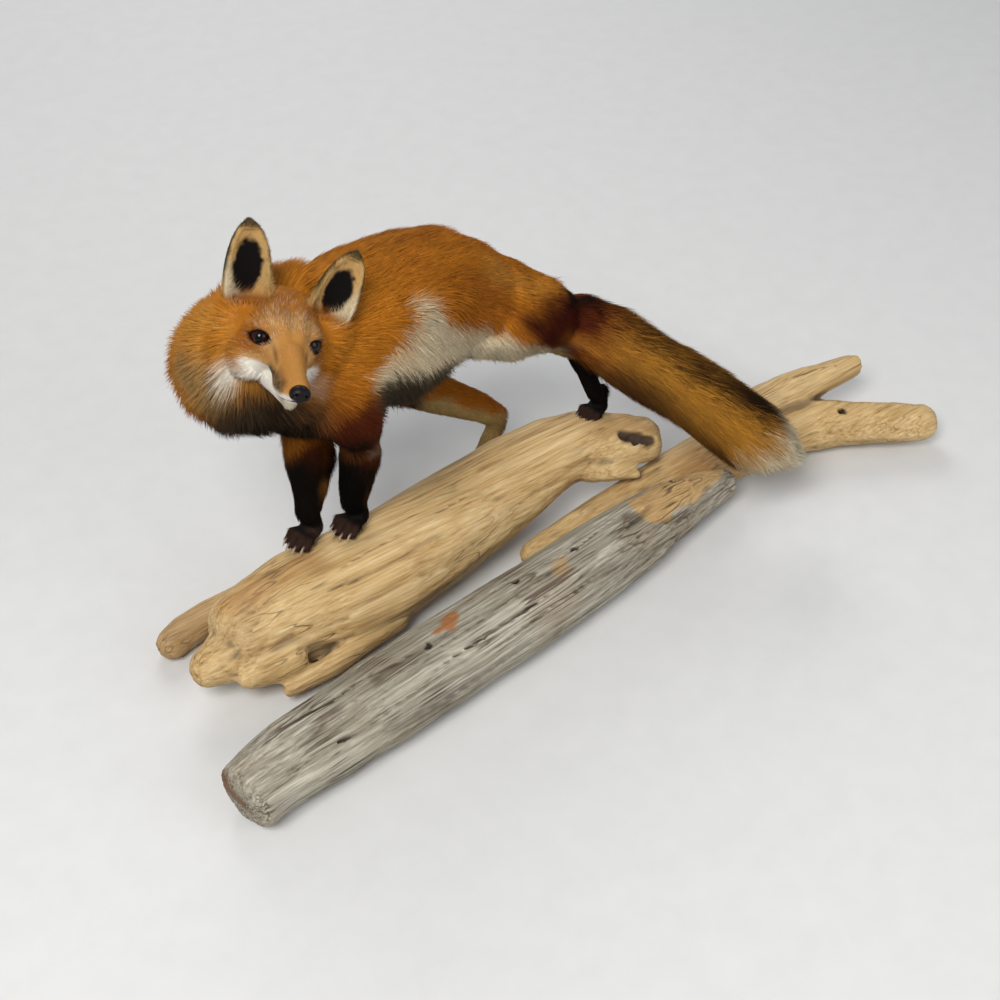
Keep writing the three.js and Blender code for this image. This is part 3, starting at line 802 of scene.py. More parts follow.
class Nodes:
    """A short way to add nodes and links: an input given a socket is linked to it."""

    def __init__(self, tree):
        self.tree = tree

    def link(self, value, socket):
        self.tree.links.new(value, socket)

    def fill(self, socket, value):
        if isinstance(value, bpy.types.NodeSocket):
            self.link(value, socket)
        else:
            socket.default_value = value

    def add(self, kind, inputs=None, **settings):
        node = self.tree.nodes.new("ShaderNode" + kind)
        for key, value in settings.items():
            setattr(node, key, value)
        for key, value in (inputs or {}).items():
            self.fill(node.inputs[key], value)
        return node

    def ramp(self, value, stops):
        node = self.add("ValToRGB", {"Fac": value})
        elements = node.color_ramp.elements
        while len(elements) < len(stops):
            elements.new(0.5)
        for element, (at, colour) in zip(elements, stops):
            element.position = at
            element.color = (*colour, 1) if np.ndim(colour) else (colour, colour, colour, 1)
        return node.outputs["Color"]

    def mix(self, a, b, factor, blend="MIX"):
        node = self.add("Mix", data_type="RGBA", blend_type=blend)
        for index, value in ((0, factor), (6, a), (7, b)):
            self.fill(node.inputs[index], (*value, 1) if isinstance(value, (tuple, np.ndarray)) else value)
        return node.outputs[2]

    def math(self, operation, a, b=0.0):
        node = self.add("Math", operation=operation)
        for index, value in enumerate((a, b)):
            self.fill(node.inputs[index], value)
        return node.outputs[0]

    def noise(self, vector, scale, detail=3.0, roughness=0.55):
        return self.add("TexNoise", {"Vector": vector, "Scale": scale, "Detail": detail,
                                     "Roughness": roughness}).outputs["Fac"]

    def stretched(self, vector, along):
        """The same place, drawn out along the grain."""
        return self.add("Mapping", {"Vector": vector, "Scale": (along, 1.0, 1.0)}).outputs["Vector"]

    def bump(self, height, strength, distance, bsdf):
        node = self.add("Bump", {"Height": height, "Strength": strength, "Distance": distance})
        self.link(node.outputs["Normal"], bsdf.inputs["Normal"])

    def place(self):
        return self.add("TexCoord").outputs["Object"]

    def painted(self, name):
        return self.add("Attribute", attribute_name=name).outputs


BLACK = (0.0, 0.0, 0.0)
# The second of these is painted shade in the wood's hollows.
CRACK_BROWN, HOLLOW_SHADE, DULL_BROWN = (0.085, 0.052, 0.03), (0.05, 0.032, 0.02), (0.22, 0.14, 0.075)


def hair_material(name, roughness, specular, fineness, rough=0.0):
    m, n, bsdf = shader(name, {"Roughness": roughness, "Specular IOR Level": specular})
    base = n.painted("coat")["Color"]
    fine = n.noise(n.place(), fineness, 2.0)
    colour = n.mix(base, n.mix(base, BLACK, 0.15), n.ramp(fine, [(0.35, 1.0), (0.6, 0.0)]))
    n.link(colour, bsdf.inputs["Base Color"])
    if rough:
        n.bump(fine, 0.2, rough, bsdf)
    return m


def grain_axes(along):
    """Three directions: along the grain, level across it, and up from both."""
    x = unit(np.array(along, float))
    level = np.cross([0, 0, 1.0], x)
    return x, unit(level), unit(np.cross(x, level))


def wood_material(name, along, tones, streak, cracks, rough, seed):
    """Wood with its grain along a direction. tones runs from its dark grain to its light, streak is
    the grain's fineness, cracks the fineness, width and strength of the cracks, rough their relief."""
    m, n, bsdf = shader(name, {"Specular IOR Level": 0.3})
    crack_scale, crack_width, crack_strength = cracks
    place = n.place()
    turned = n.add("Mapping", {"Vector": place, "Rotation": Matrix(grain_axes(along)).to_euler(),
                               "Location": (seed, seed * 0.7, seed * 1.3)}).outputs["Vector"]
    wander = n.add("TexNoise", {"Vector": turned, "Scale": 9.0, "Detail": 2.0}, noise_dimensions="3D")
    bent = n.add("MixRGB", {"Fac": 0.003, "Color1": turned, "Color2": wander.outputs["Color"]},
                 blend_type="LINEAR_LIGHT").outputs["Color"]
    grain = n.stretched(bent, 0.03)
    lines = n.noise(grain, streak, 5.0, 0.65)
    bands = n.noise(grain, streak * 0.2, 3.0, 0.5)
    hair = n.noise(grain, streak * 3.2, 2.0, 0.5)
    patch = n.noise(place, 14.0, 3.0)
    stain_and_shade_paint = n.painted("wood")
    hollow = n.painted("hollow")["Fac"]
    tone = n.ramp(n.math("ADD", n.math("MULTIPLY", lines, 0.65), n.math("MULTIPLY", bands, 0.35)), tones)
    tone = n.mix(tone, n.mix(tone, DULL_BROWN, 0.55), n.ramp(patch, [(0.48, 0.0), (0.70, 0.6)]))
    shaded = n.mix(stain_and_shade_paint["Color"], n.ramp(lines, [(0.25, 0.45), (0.75, 1.0)]), 1.0, "MULTIPLY")
    tone = n.mix(tone, shaded, stain_and_shade_paint["Alpha"])
    split = n.noise(n.stretched(bent, 0.028), crack_scale, 1.0, 0.4)
    ridge = n.math("ABSOLUTE", n.math("SUBTRACT", split, 0.5))
    gate = n.ramp(n.noise(place, 17.0, 2.0), [(0.46, 0.0), (0.60, 1.0)])
    crack = n.ramp(ridge, [(0.0, 1.0), (0.4 * crack_width, 0.8), (crack_width, 0.0)])
    crack = n.math("MULTIPLY", crack, gate)
    tone = n.mix(tone, CRACK_BROWN, n.math("MULTIPLY", crack, crack_strength))
    # Painted shade in the hollows
    tone = n.mix(tone, HOLLOW_SHADE, hollow)
    n.link(tone, bsdf.inputs["Base Color"])
    relief = n.math("ADD", n.math("MULTIPLY", lines, 0.7), n.math("MULTIPLY", hair, 0.3))
    relief = n.math("SUBTRACT", relief, n.math("MULTIPLY", crack, 1.6))
    n.bump(relief, 0.55, rough, bsdf)
    n.link(n.ramp(lines, [(0.3, 0.78), (0.7, 0.62)]), bsdf.inputs["Roughness"])
    return m


def tones(places, codes):
    return [(at, linear(code)) for at, code in zip(places, codes)]


FUR = hair_material("fur", 0.7, 0.07, 420.0)
HIDE = hair_material("hide", 0.8, 0.1, 900.0, rough=0.0004)
TAN = wood_material("tan_driftwood", (0.999, 0.03, 0.02),
                    tones((0.33, 0.44, 0.56, 0.70), ("#86643c", "#b3925f", "#c7aa79", "#dac398")),
                    360.0, (85.0, 0.018, 0.55), 0.0012, 1.7)
GREY = wood_material("grey_driftwood", (0.99, 0.13, 0.0),
                     tones((0.33, 0.43, 0.54, 0.67), ("#473f32", "#807a6a", "#a29c8c", "#c9c2b1")),
                     430.0, (150.0, 0.055, 0.9), 0.0022, 5.1)


# ---- Driftwood: the logs' own shapes, smoothed, then worn ----
def log_piece(name, node, material, slot, step, along, soften, wear, patches):
    """A log's solid, smoothed, worn by each kind of wear in turn, with painted shade in its hollows, and
    painted in patches: worn stains, and painted shade inside its holes.
    """
    low_m, high_m = (np.array(c) * 1000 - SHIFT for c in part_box(node))
    low = low_m - 4 * step
    size = tuple(int(math.ceil((high_m[i] - low_m[i]) / step)) + 9 for i in range(3))
    points, faces = node_shapes([node])
    field = blur(distances(points, faces, step, low, size, 6 * step), soften)
    near = np.abs(field) < 4 * step
    where = grid_points(low, size, step)[near]
    grain = np.stack([where @ axis for axis in grain_axes(along)], axis=-1)
    worn = field[near].copy()
    for kind in wear:
        worn = kind(worn, where, grain)
    field[near] = worn
    field = np.maximum(field, FLOOR_GAP - (low[2] + step * np.arange(size[2]))[None, None, :])
    points, quads = surface(field, low, step)
    obj = make_object(name, points, quads)
    fit(obj, material, slot, node)
    # Painted shade: darker where the surface lies below its own blurred shape, in its hollows
    level = blur(field, 2.2)
    q = (points - low) / step
    corner = np.clip(np.floor(q).astype(int), 0, np.array(size) - 2)
    part_way = q - corner
    total = 0
    for dx, dy, dz in np.ndindex(2, 2, 2):
        weight = np.abs(part_way - [1 - dx, 1 - dy, 1 - dz]).prod(axis=1)
        total = total + weight * level[corner[:, 0] + dx, corner[:, 1] + dy, corner[:, 2] + dz]
    hollow = (0.45 * smooth(0.0, 0.7, -total) + 0.5 * smooth(0.5, 1.8, -total))[:, None]
    paint(obj, "hollow", np.repeat(hollow, 3, axis=1))
    paint(obj, "wood", stains_and_hole_shade(points, patches))


def flutes(depth, pitch, length, seed, sharp=1.0):
    """Grooves along the grain."""
    def wear(d, p, g):
        q = g / np.array([length, pitch, pitch])
        a = 1 - np.abs(noise(q, 1.0, seed))
        b = 1 - np.abs(noise(q * [1.3, 2.1, 2.1], 1.0, seed + 3))
        return d + depth * (0.65 * a ** (3 * sharp) + 0.35 * b ** (3 * sharp)) - 0.35 * depth
    return wear


def dents(depth, size, seed):
    return lambda d, p, g: d + depth * noise(p, size, seed)


def hole(a, b, radius):
    """A round-ended hollow from a to b."""
    return lambda d, p, g: carve(d, segment(p, a, b)[0] - radius, 0.8)


def splits(cracks):
    """Narrow splits along the grain, each from a to b with a half width."""
    def wear(d, p, g):
        flat = np.array([1, 1, 0.4])
        bent = p + 2.5 * np.stack([0 * p[:, 0], noise(p, 34, 40), noise(p, 34, 41)], axis=-1)
        for a, b, half in cracks:
            r, t = segment(bent * flat, a * flat, b * flat)
            d = carve(d, r - half * (1 - 0.75 * np.abs(2 * t - 1) ** 2), 0.5)
        return d
    return wear


def stains_and_hole_shade(points, patches):
    """Where patches of other colours lie, worn stains and painted shade inside holes: their colour, and how
    much of it.
    """
    c = np.zeros((len(points), 4))
    wander = 5 * np.stack([noise(points, 16, seed) for seed in (3, 4, 5)], -1)
    for a, b, radius, soft, colour, amount in patches:
        d, _ = segment(points + wander, a, b)
        here = amount * smooth(radius + soft, radius - soft, d)[:, None]
        c[:, :3] = mix(c[:, :3], linear(colour), here / np.maximum(here, c[:, 3:] + 1e-6))
        c[:, 3:] = np.maximum(c[:, 3:], here)
    return c


# ---- Camera, floor and light ----
AZIMUTH, ELEVATION, FIELD = (math.radians(a) for a in (-34, 42, 36))
DISTANCE = 1720.0
FORWARD = -np.array([math.sin(AZIMUTH) * math.cos(ELEVATION), -math.cos(AZIMUTH) * math.cos(ELEVATION),
                     math.sin(ELEVATION)])
ACROSS = np.array([math.cos(AZIMUTH), math.sin(AZIMUTH), 0.0])
UPWARD = np.cross(ACROSS, FORWARD)

lens = bpy.data.cameras.new("camera")
lens.sensor_fit = "HORIZONTAL"
lens.angle = FIELD
lens.clip_start, lens.clip_end = 0.05, 50
camera = bpy.data.objects.new("camera", lens)
axes = np.stack([ACROSS, UPWARD, -FORWARD], axis=1)
camera_at = Matrix.Translation(Vector((-DISTANCE * FORWARD + SHIFT) / 1000))
camera.matrix_world = camera_at @ Matrix(axes.tolist()).to_4x4()
bpy.context.scene.collection.objects.link(camera)
bpy.context.scene.camera = camera

HALF_FLOOR = 6.0  # metres
floor_mesh = bpy.data.meshes.new("floor")
floor_mesh.from_pydata([(x * HALF_FLOOR, y * HALF_FLOOR, 0) for x, y in ((-1, -1), (1, -1), (1, 1), (-1, 1))],
                       [], [(0, 1, 2, 3)])
floor = bpy.data.objects.new("floor", floor_mesh)
bpy.context.scene.collection.objects.link(floor)
m, n, bsdf = shader("pale_floor", {"Roughness": 0.9})
place = n.place()
n.link(n.mix((0.60, 0.60, 0.59), (0.66, 0.66, 0.65), n.noise(place, 30.0, 4.0)), bsdf.inputs["Base Color"])
floor_mesh.materials.append(m)
floor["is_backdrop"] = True


def lamp(name, at, toward, size, power, colour=(1, 1, 1)):
    """A round soft lamp: places and size in metres, power in watts."""
    data = bpy.data.lights.new(name, "AREA")
    data.shape, data.size, data.energy, data.color = "DISK", size, power, colour
    obj = bpy.data.objects.new(name, data)
    aim = (Vector(at) - Vector(toward)).to_track_quat("Z", "Y").to_matrix().to_4x4()
    obj.matrix_world = Matrix.Translation(at) @ aim
    bpy.context.scene.collection.objects.link(obj)


lamp("key", (-1.5, -1.1, 2.3), (-0.1, 0, 0.2), 1.2, 66, (1.0, 0.985, 0.96))
lamp("fill", (1.0, -2.2, 1.5), (0, 0, 0.2), 2.0, 20, (0.97, 0.98, 1.0))
lamp("back", (0.6, 2.2, 2.0), (0, 0, 0.2), 1.6, 26)
world = bpy.data.worlds.new("studio")
world.use_nodes = True
sky = world.node_tree.nodes["Background"].inputs
sky["Color"].default_value = (0.93, 0.95, 1.0, 1)
sky["Strength"].default_value = 0.36
bpy.context.scene.world = world
bpy.context.scene.view_settings.view_transform = "Standard"

skin.data.materials.clear()
fit(skin, HIDE, "coat", *FLESH)

at = lambda *xyz: np.array(xyz, float)
log_piece("tan_driftwood", "tan_log", TAN, "tan_wood", 2.25, (0.999, 0.02, 0.03), 2.0, [
    dents(1.6, 38, 1), flutes(2.4, 10, 170, 2),
    splits([(at(-150, -80, 108), at(-30, -70, 110), 1.3), (at(-262, -96, 107), at(-160, -84, 109), 1.2),
            (at(38, -58, 111), at(95, -66, 110), 1.5), (at(-298, -102, 96), at(-190, -110, 98), 1.3),
            (at(-120, -108, 95), at(0, -100, 95), 1.2), (at(-364, -100, 80), at(-328, -96, 97), 1.8),
            (at(-376, -121, 48), at(-335, -108, 80), 2.4), (at(-210, -60, 111), at(-100, -50, 112), 1.2),
            (at(-20, -75, 111), at(60, -80, 108), 1.2), (at(-90, -60, 112), at(10, -48, 112), 1.2)]),
    hole(at(103, -84, 106), at(118, -92, 102), 7.5), hole(at(113, -90, 98), at(130, -99, 94), 5.5),
    hole(at(112, -89, 96), at(118, -92, 84), 7.5)], [
    (at(-270, -72, 106), at(-352, -64, 92), 16, 12, "#b07a3c", 0.55),
    # painted shade inside the knot hole
    (at(104, -85, 97), at(122, -95, 92), 8, 3, "#2b140a", 0.95),
    (at(80, -60, 104), at(145, -84, 96), 14, 12, "#a8743f", 0.4)])
# Round holes in the grey log: place, top, bottom, radius and the colour painted inside, as shade in the hole
BORED = [(-27, -175, 84, 66, 3.2, "#1c130c"), (131, -138, 70, 50, 3.2, "#2a1a0e"),
         (-105, -182, 84, 68, 2.8, "#1c130c"), (-220, -205, 82, 66, 2.8, "#1c130c")]
log_piece("grey_driftwood", "grey_log", GREY, "grey_wood", 2.1, (0.99, 0.13, 0.0), 1.2, [
    dents(1.3, 30, 5), flutes(3.2, 11, 230, 6, 1.3),
    splits([(at(-448, -237, 57), at(-236, -222, 71), 1.9), (at(-440, -247, 52), at(-300, -244, 62), 1.6),
            (at(-330, -209, 77), at(-130, -196, 80), 1.3), (at(-230, -226, 70), at(-70, -205, 72), 1.4),
            (at(-60, -180, 80), at(45, -160, 76), 1.2), (at(-176, -232, 63), at(-20, -205, 65), 1.4),
            (at(-420, -214, 70), at(-280, -206, 77), 1.4), (at(-150, -182, 81), at(-20, -172, 80), 1.2)]),
    *[hole(at(x, y, top), at(x, y, bottom), radius) for x, y, top, bottom, radius, _ in BORED]], [
    (at(80, -162, 72), at(180, -132, 56), 21, 3, "#d2aa70", 0.95),
    (at(-180, -186, 80), at(-188, -190, 80), 9, 3, "#b3713a", 0.9),
    (at(-200, -192, 79), at(-206, -194, 79), 5, 2, "#b3713a", 0.9),
    (at(-58, -190, 80), at(-50, -186, 80), 10, 5, "#c39c6a", 0.7),
    (at(-300, -212, 77), at(-230, -204, 79), 12, 14, "#7c6750", 0.4),
    (at(-452, -196, 40), at(-452, -250, 34), 17, 5, "#7a4d28", 0.85),
    # painted shade inside the bored holes
    *[(at(x, y, top - 2), at(x, y, bottom), radius + 0.4, 1, colour, 0.95)
      for x, y, top, bottom, radius, colour in BORED]])
log_piece("forked_driftwood", "forked_branch", TAN, "tan_wood", 2.2, (0.99, -0.08, 0.02), 1.4, [
    dents(1.5, 26, 9), flutes(2.0, 9, 110, 10),
    splits([(at(325, -140, 56), at(430, -165, 62), 1.6), (at(330, -82, 78), at(420, -96, 72), 1.5)]),
    hole(at(370, -143, 66), at(370, -143, 46), 3.4)], [
    # painted shade inside the hole
    (at(370, -143, 64), at(370, -143, 48), 3.8, 1, "#22150c", 0.95),
    (at(180, -127, 40), at(260, -120, 50), 30, 20, "#b07c48", 0.5)])
log_piece("rear_driftwood", "rear_branch", TAN, "tan_wood", 2.3, (1, 0.05, 0), 1.3,
          [dents(1.2, 24, 12), flutes(1.8, 8, 90, 13)],
          [(at(-400, -20, 20), at(-360, -20, 20), 30, 14, "#a8845a", 0.6)])


# ---- Eyes, nose and claws ----
def tube_faces(count, around):
    """Faces of a closed tube of equal rings, its ends each closed to a last point."""
    faces = []
    for i in range(count - 1):
        for j in range(around):
            a, b = i * around + j, i * around + (j + 1) % around
            faces += [(a, b, b + around), (a, b + around, a + around)]
    first, last = count * around, count * around + 1
    for j in range(around):
        k = (j + 1) % around
        faces += [(first, k, j), (last, (count - 1) * around + j, (count - 1) * around + k)]
    return np.array(faces)


GLASS, n, bsdf = shader("glass_eye", {
    "Roughness": 0.12, "Specular IOR Level": 0.1, "Coat Weight": 0.3, "Coat Roughness": 0.02})
n.link(n.painted("coat")["Color"], bsdf.inputs["Base Color"])
LATITUDES, LONGITUDES = 40, 64


def eyeball(name, side):
    """A glass eye, closest rings at the front: a bulging cornea over a lit iris and an upright pupil."""
    centre, out, wide, high = eye_frame(side)
    lat = np.pi * np.linspace(0, 1, LATITUDES + 2)[1:-1] ** 1.3
    lon = np.linspace(0, 2 * np.pi, LONGITUDES, endpoint=False)
    lat, lon = (a.ravel() for a in np.meshgrid(lat, lon, indexing="ij"))
    lat, lon = np.append(lat, [0, np.pi]), np.append(lon, [0, 0])
    u, v = np.sin(lat) * np.cos(lon), np.sin(lat) * np.sin(lon)
    radius = EYE_R + 0.5 * np.exp(-(lat / 0.5) ** 2)
    local = radius[:, None] * (u[:, None] * wide + v[:, None] * high + np.cos(lat)[:, None] * out)
    faces = tube_faces(LATITUDES, LONGITUDES)
    flip = np.linalg.det(np.stack([wide, high, out])) < 0
    obj = make_object("glass_" + name, from_head(centre + local), faces if flip else faces[:, ::-1])
    pupil = np.hypot(u / 0.30, v / 0.44)
    reach = np.sin(np.minimum(lat, np.pi / 2))
    spokes = noise(np.stack([12 * np.cos(lon), 12 * np.sin(lon), 2 * lat], -1), 1.0, 50)
    c = np.broadcast_to(linear("#270c07"), local.shape) * (1 + 0.35 * spokes[:, None])
    # Painted light: the lower part of the iris is lighter, as if lit through the cornea from above.
    c = mix(c, linear("#4a1b0c"), 0.5 * smooth(0.2, -0.5, v)[:, None])
    c = mix(c, linear("#120705"), smooth(0.62, 0.80, reach)[:, None])
    c = mix(c, np.array([0.002, 0.0015, 0.0015]), smooth(1.25, 0.9, pupil)[:, None] * (lat < 1.5)[:, None])
    paint(obj, "coat", c)
    fit(obj, GLASS, "eye", name)


eyeball("eye_left", 1)
eyeball("eye_right", -1)


def nose_field(p):
    """The nose pad in the head's frame: its lobes, then the nostrils, their side slits, and the
    furrow down its front."""
    m = both_sides(p)
    f = ball(p, (66.5, 0, -20.8), (6.6, 7.6, 6.0))
    f = melt(f, ball(m, (66.0, 5.0, -23.0), (5.6, 3.8, 4.6)), 2.5)
    f = melt(f, ball(p, (67.0, 0, -26.0), (4.0, 3.8, 4.4)), 2.5)
    f = carve(f, cone(m, (74.4, 3.4, -22.6), (69.5, 4.4, -22.0), 1.4, 1.0), 0.8)
    f = carve(f, cone(m, (73.0, 4.4, -23.2), (67.5, 9.4, -25.0), 1.1, 0.8), 0.6)
    f = carve(f, cone(p, (74.2, 0, -19.0), (71.8, 0, -30.5), 0.5, 0.6), 0.6)
    return carve(f, cone(p, (76.0, 0, -17.0), (64.0, 0, -12.6), 0.8, 0.8), 3.0)


nose_step, nose_low, nose_size = 0.5, np.array([58.0, -11.0, -33.0]), (40, 45, 46)
nose_values = nose_field(grid_points(nose_low, nose_size, nose_step))
nose_points, nose_quads = surface(nose_values, nose_low, nose_step)
nose = make_object("nose_pad", from_head(nose_points), nose_quads)
LEATHER, n, bsdf = shader("nose_leather", {"Roughness": 0.34, "Specular IOR Level": 0.12})
pebble = n.add("TexVoronoi", {"Vector": n.place(), "Scale": 1300.0}, feature="DISTANCE_TO_EDGE")
pebble = pebble.outputs["Distance"]
n.link(n.mix((0.004, 0.0035, 0.0035), (0.010, 0.008, 0.008), n.ramp(pebble, [(0.0, 0.0), (0.25, 1.0)])),
       bsdf.inputs["Base Color"])
n.bump(pebble, 0.35, 0.0005, bsdf)
fit(nose, LEATHER, "nose", "nose")

CLAW_RINGS, CLAW_AROUND, CLAW_STEP, CLAW_FLOOR = 9, 10, 1.35, 1.6
claw_points, claw_colours, claw_faces = [], [], []
for where, yaw, size in PAWS.values():
    for x, y in TOES:
        along = np.linspace(0, 1, CLAW_RINGS)
        bend = np.radians(5 - 78 * along)
        run = np.cumsum(np.stack([np.cos(bend), 0 * bend, np.sin(bend)], -1), axis=0) * CLAW_STEP
        centre = np.array([x + 6.8, 1.08 * y, 8.6]) + run
        tall, broad = (2.1 * (1 - along) ** 0.7 + 0.22), (1.35 * (1 - along) ** 0.6 + 0.2)
        spin = np.linspace(0, 2 * np.pi, CLAW_AROUND, endpoint=False)
        lift_way = np.stack([-np.sin(bend), 0 * bend, np.cos(bend)], -1)
        tube = centre[:, None] + np.cos(spin)[None, :, None] * tall[:, None, None] * lift_way[:, None]
        tube = tube + (np.sin(spin)[None, :] * broad[:, None])[..., None] * np.array([0, 1.0, 0])
        local = np.concatenate([tube.reshape(-1, 3), centre[:1] - [0.6, 0, 0], centre[-1:] + [0, 0, -0.5]])
        local[:, 2] = np.maximum(local[:, 2], CLAW_FLOOR)
        claw_faces.append(tube_faces(CLAW_RINGS, CLAW_AROUND) + sum(len(c) for c in claw_points))
        claw_points.append((local * size) @ turn("Z", yaw).T + np.array(where))
        shade = np.append(np.repeat(along, CLAW_AROUND), [0, 1])[:, None]
        claw_colours.append(mix(linear("#4a3328"), linear("#a8927c"), smooth(0.05, 0.6, shade)))
claws = make_object("claws", np.concatenate(claw_points), np.concatenate(claw_faces))
paint(claws, "coat", np.concatenate(claw_colours))
HORN, n, bsdf = shader("claw_horn", {"Roughness": 0.35})
base = n.painted("coat")["Color"]
streak = n.noise(n.place(), 700.0, 3.0)
n.link(n.mix(base, (0.10, 0.06, 0.04), n.ramp(streak, [(0.5, 0.0), (0.75, 0.6)])), bsdf.inputs["Base Color"])
fit(claws, HORN, "claw", *[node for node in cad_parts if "claw" in node])


# ---- The coat: closed three-sided tufts rooted all over the skin ----
TUFT_COUNT = 265000
MOST_TRIANGLES = 190000  # in one piece of the coat
BENT_SHARE = 0.33  # of the long tufts have a second ring
DROOP = 0.45  # how far a tuft bends back down, as a share of its rise
ROOT_DEPTH = 0.6  # roots start this far under the skin
UV_PATCH = 0.0013
TRIANGLES = {1: 4, 2: 10}  # in a tuft of one ring or of two


def share_of(part, name):
    return part[:, PARTS.index(name)]


def skin_roots(count, weight):
    """Roots spread evenly over the skin by a weight per face: place, normal and unwrap place."""
    mesh = skin.data
    mesh.calc_loop_triangles()
    tris, loops = (np.zeros(len(mesh.loop_triangles) * 3, np.int32) for _ in range(2))
    mesh.loop_triangles.foreach_get("vertices", tris)
    mesh.loop_triangles.foreach_get("loops", loops)
    tris = tris.reshape(-1, 3)
    uv = np.zeros(len(mesh.loops) * 2, np.float32)
    mesh.uv_layers["OFBake"].data.foreach_get("uv", uv)
    uv = uv.reshape(-1, 2)[loops.reshape(-1, 3)]
    a, b, c = (points[tris[:, i]] for i in range(3))
    area = 0.5 * np.linalg.norm(np.cross(b - a, c - a), axis=1)
    run = np.cumsum(area * weight(tris))
    at = (np.arange(count) + RNG.random(count)) / count * run[-1]
    face = np.minimum(np.searchsorted(run, at), len(run) - 1)
    r1, r2 = np.sqrt(RNG.random(count)), RNG.random(count)
    w = np.stack([1 - r1, r1 * (1 - r2), r1 * r2], axis=1)
    place = np.einsum("ij,ijk->ik", w, points[tris[face]])
    normal = unit(np.einsum("ij,ijk->ik", w, normals[tris[face]]))
    return place, normal, np.einsum("ij,ijk->ik", w, uv[face])


def face_density(tris):
    """How thickly tufts are rooted on each face of the skin."""
    weight = share @ coat_values("density")
    h = to_head(points)
    muzzle = share_of(share, "head") * smooth(0, 25, h[:, 0])
    weight = weight * (1 + 0.5 * muzzle)
    for side in (1, -1):  # none on the eyes' rims or in their sockets
        weight = weight * smooth(0.2, 1.4, lid_opening(h, side))
    for name, _ in EAR_SIDES:
        weight = weight * np.where(ear_field(h, name)[1] < 0.5, 0.55, 1.0)
    weight = weight * smooth(62, 58, h[:, 0]) ** (np.abs(h[:, 1]) < 9)  # none under the nose pad
    return weight[tris].mean(axis=1)


def lie(p, n, part):
    """The way the coat lies at p: from the nose back over the head, and along each part."""
    _, along = nearest_parts(p, sharp=4.0, directions=True)
    x, z = p[:, 0], p[:, 2]
    h = to_head(p)
    trunk = share_of(part, "trunk")

    def turned(along, toward, amount):
        return mix(along, np.asarray(toward), amount[:, None])

    # The face parts at the nose, runs back over the brow and out over the cheeks.
    back = unit(h - np.array([72.0, 0, -24])) @ HEAD.T
    ears = share_of(part, "ear") * smooth(14, 26, h[:, 2])
    along = turned(along, back, share_of(part, "head") * (1 - ears))
    # The ruff spreads from the back of the jaw down over the chest.
    spread = unit(unit(p - from_head(np.array([-18.0, 0, -20]))) + np.array([0.15, 0.0, -0.75]))
    along = turned(along, spread, share_of(part, "ruff") * smooth(-200, -240, x))
    chest = trunk * smooth(-190, -250, x) * smooth(330, 290, z)
    along = turned(along, (0.35, 0, -0.93), 0.8 * chest)
    # Flanks sweep down toward the belly, thighs down toward the hock.
    along = along + (trunk * smooth(0.8, 0.0, n[:, 2]))[:, None] * np.array([0, 0, -0.38])
    patch = smooth(-205, -180, x) * smooth(-60, -95, x) * smooth(366, 345, z) * trunk
    along = turned(along, (0.34, 0, -0.94), 0.85 * patch)
    along = turned(along, (0.55, 0, -0.83), share_of(part, "thigh"))
    along = turned(along, (0.30, 0, -0.95), 0.6 * share_of(part, "arm"))
    # Hair in the cups of the ears runs up and outward.
    for name, side in EAR_SIDES:
        across, _, _ = ear_axes(name)
        cup = smooth(2.5, 0.5, ear_field(h, name)[1])[:, None]
        along = along + 0.75 * side * cup * (across @ HEAD.T)
    along = unit(along) + 0.13 * np.stack([noise(p, 26, 20 + i) for i in range(3)], -1)
    return unit(along - n * (along * n).sum(axis=1, keepdims=True))


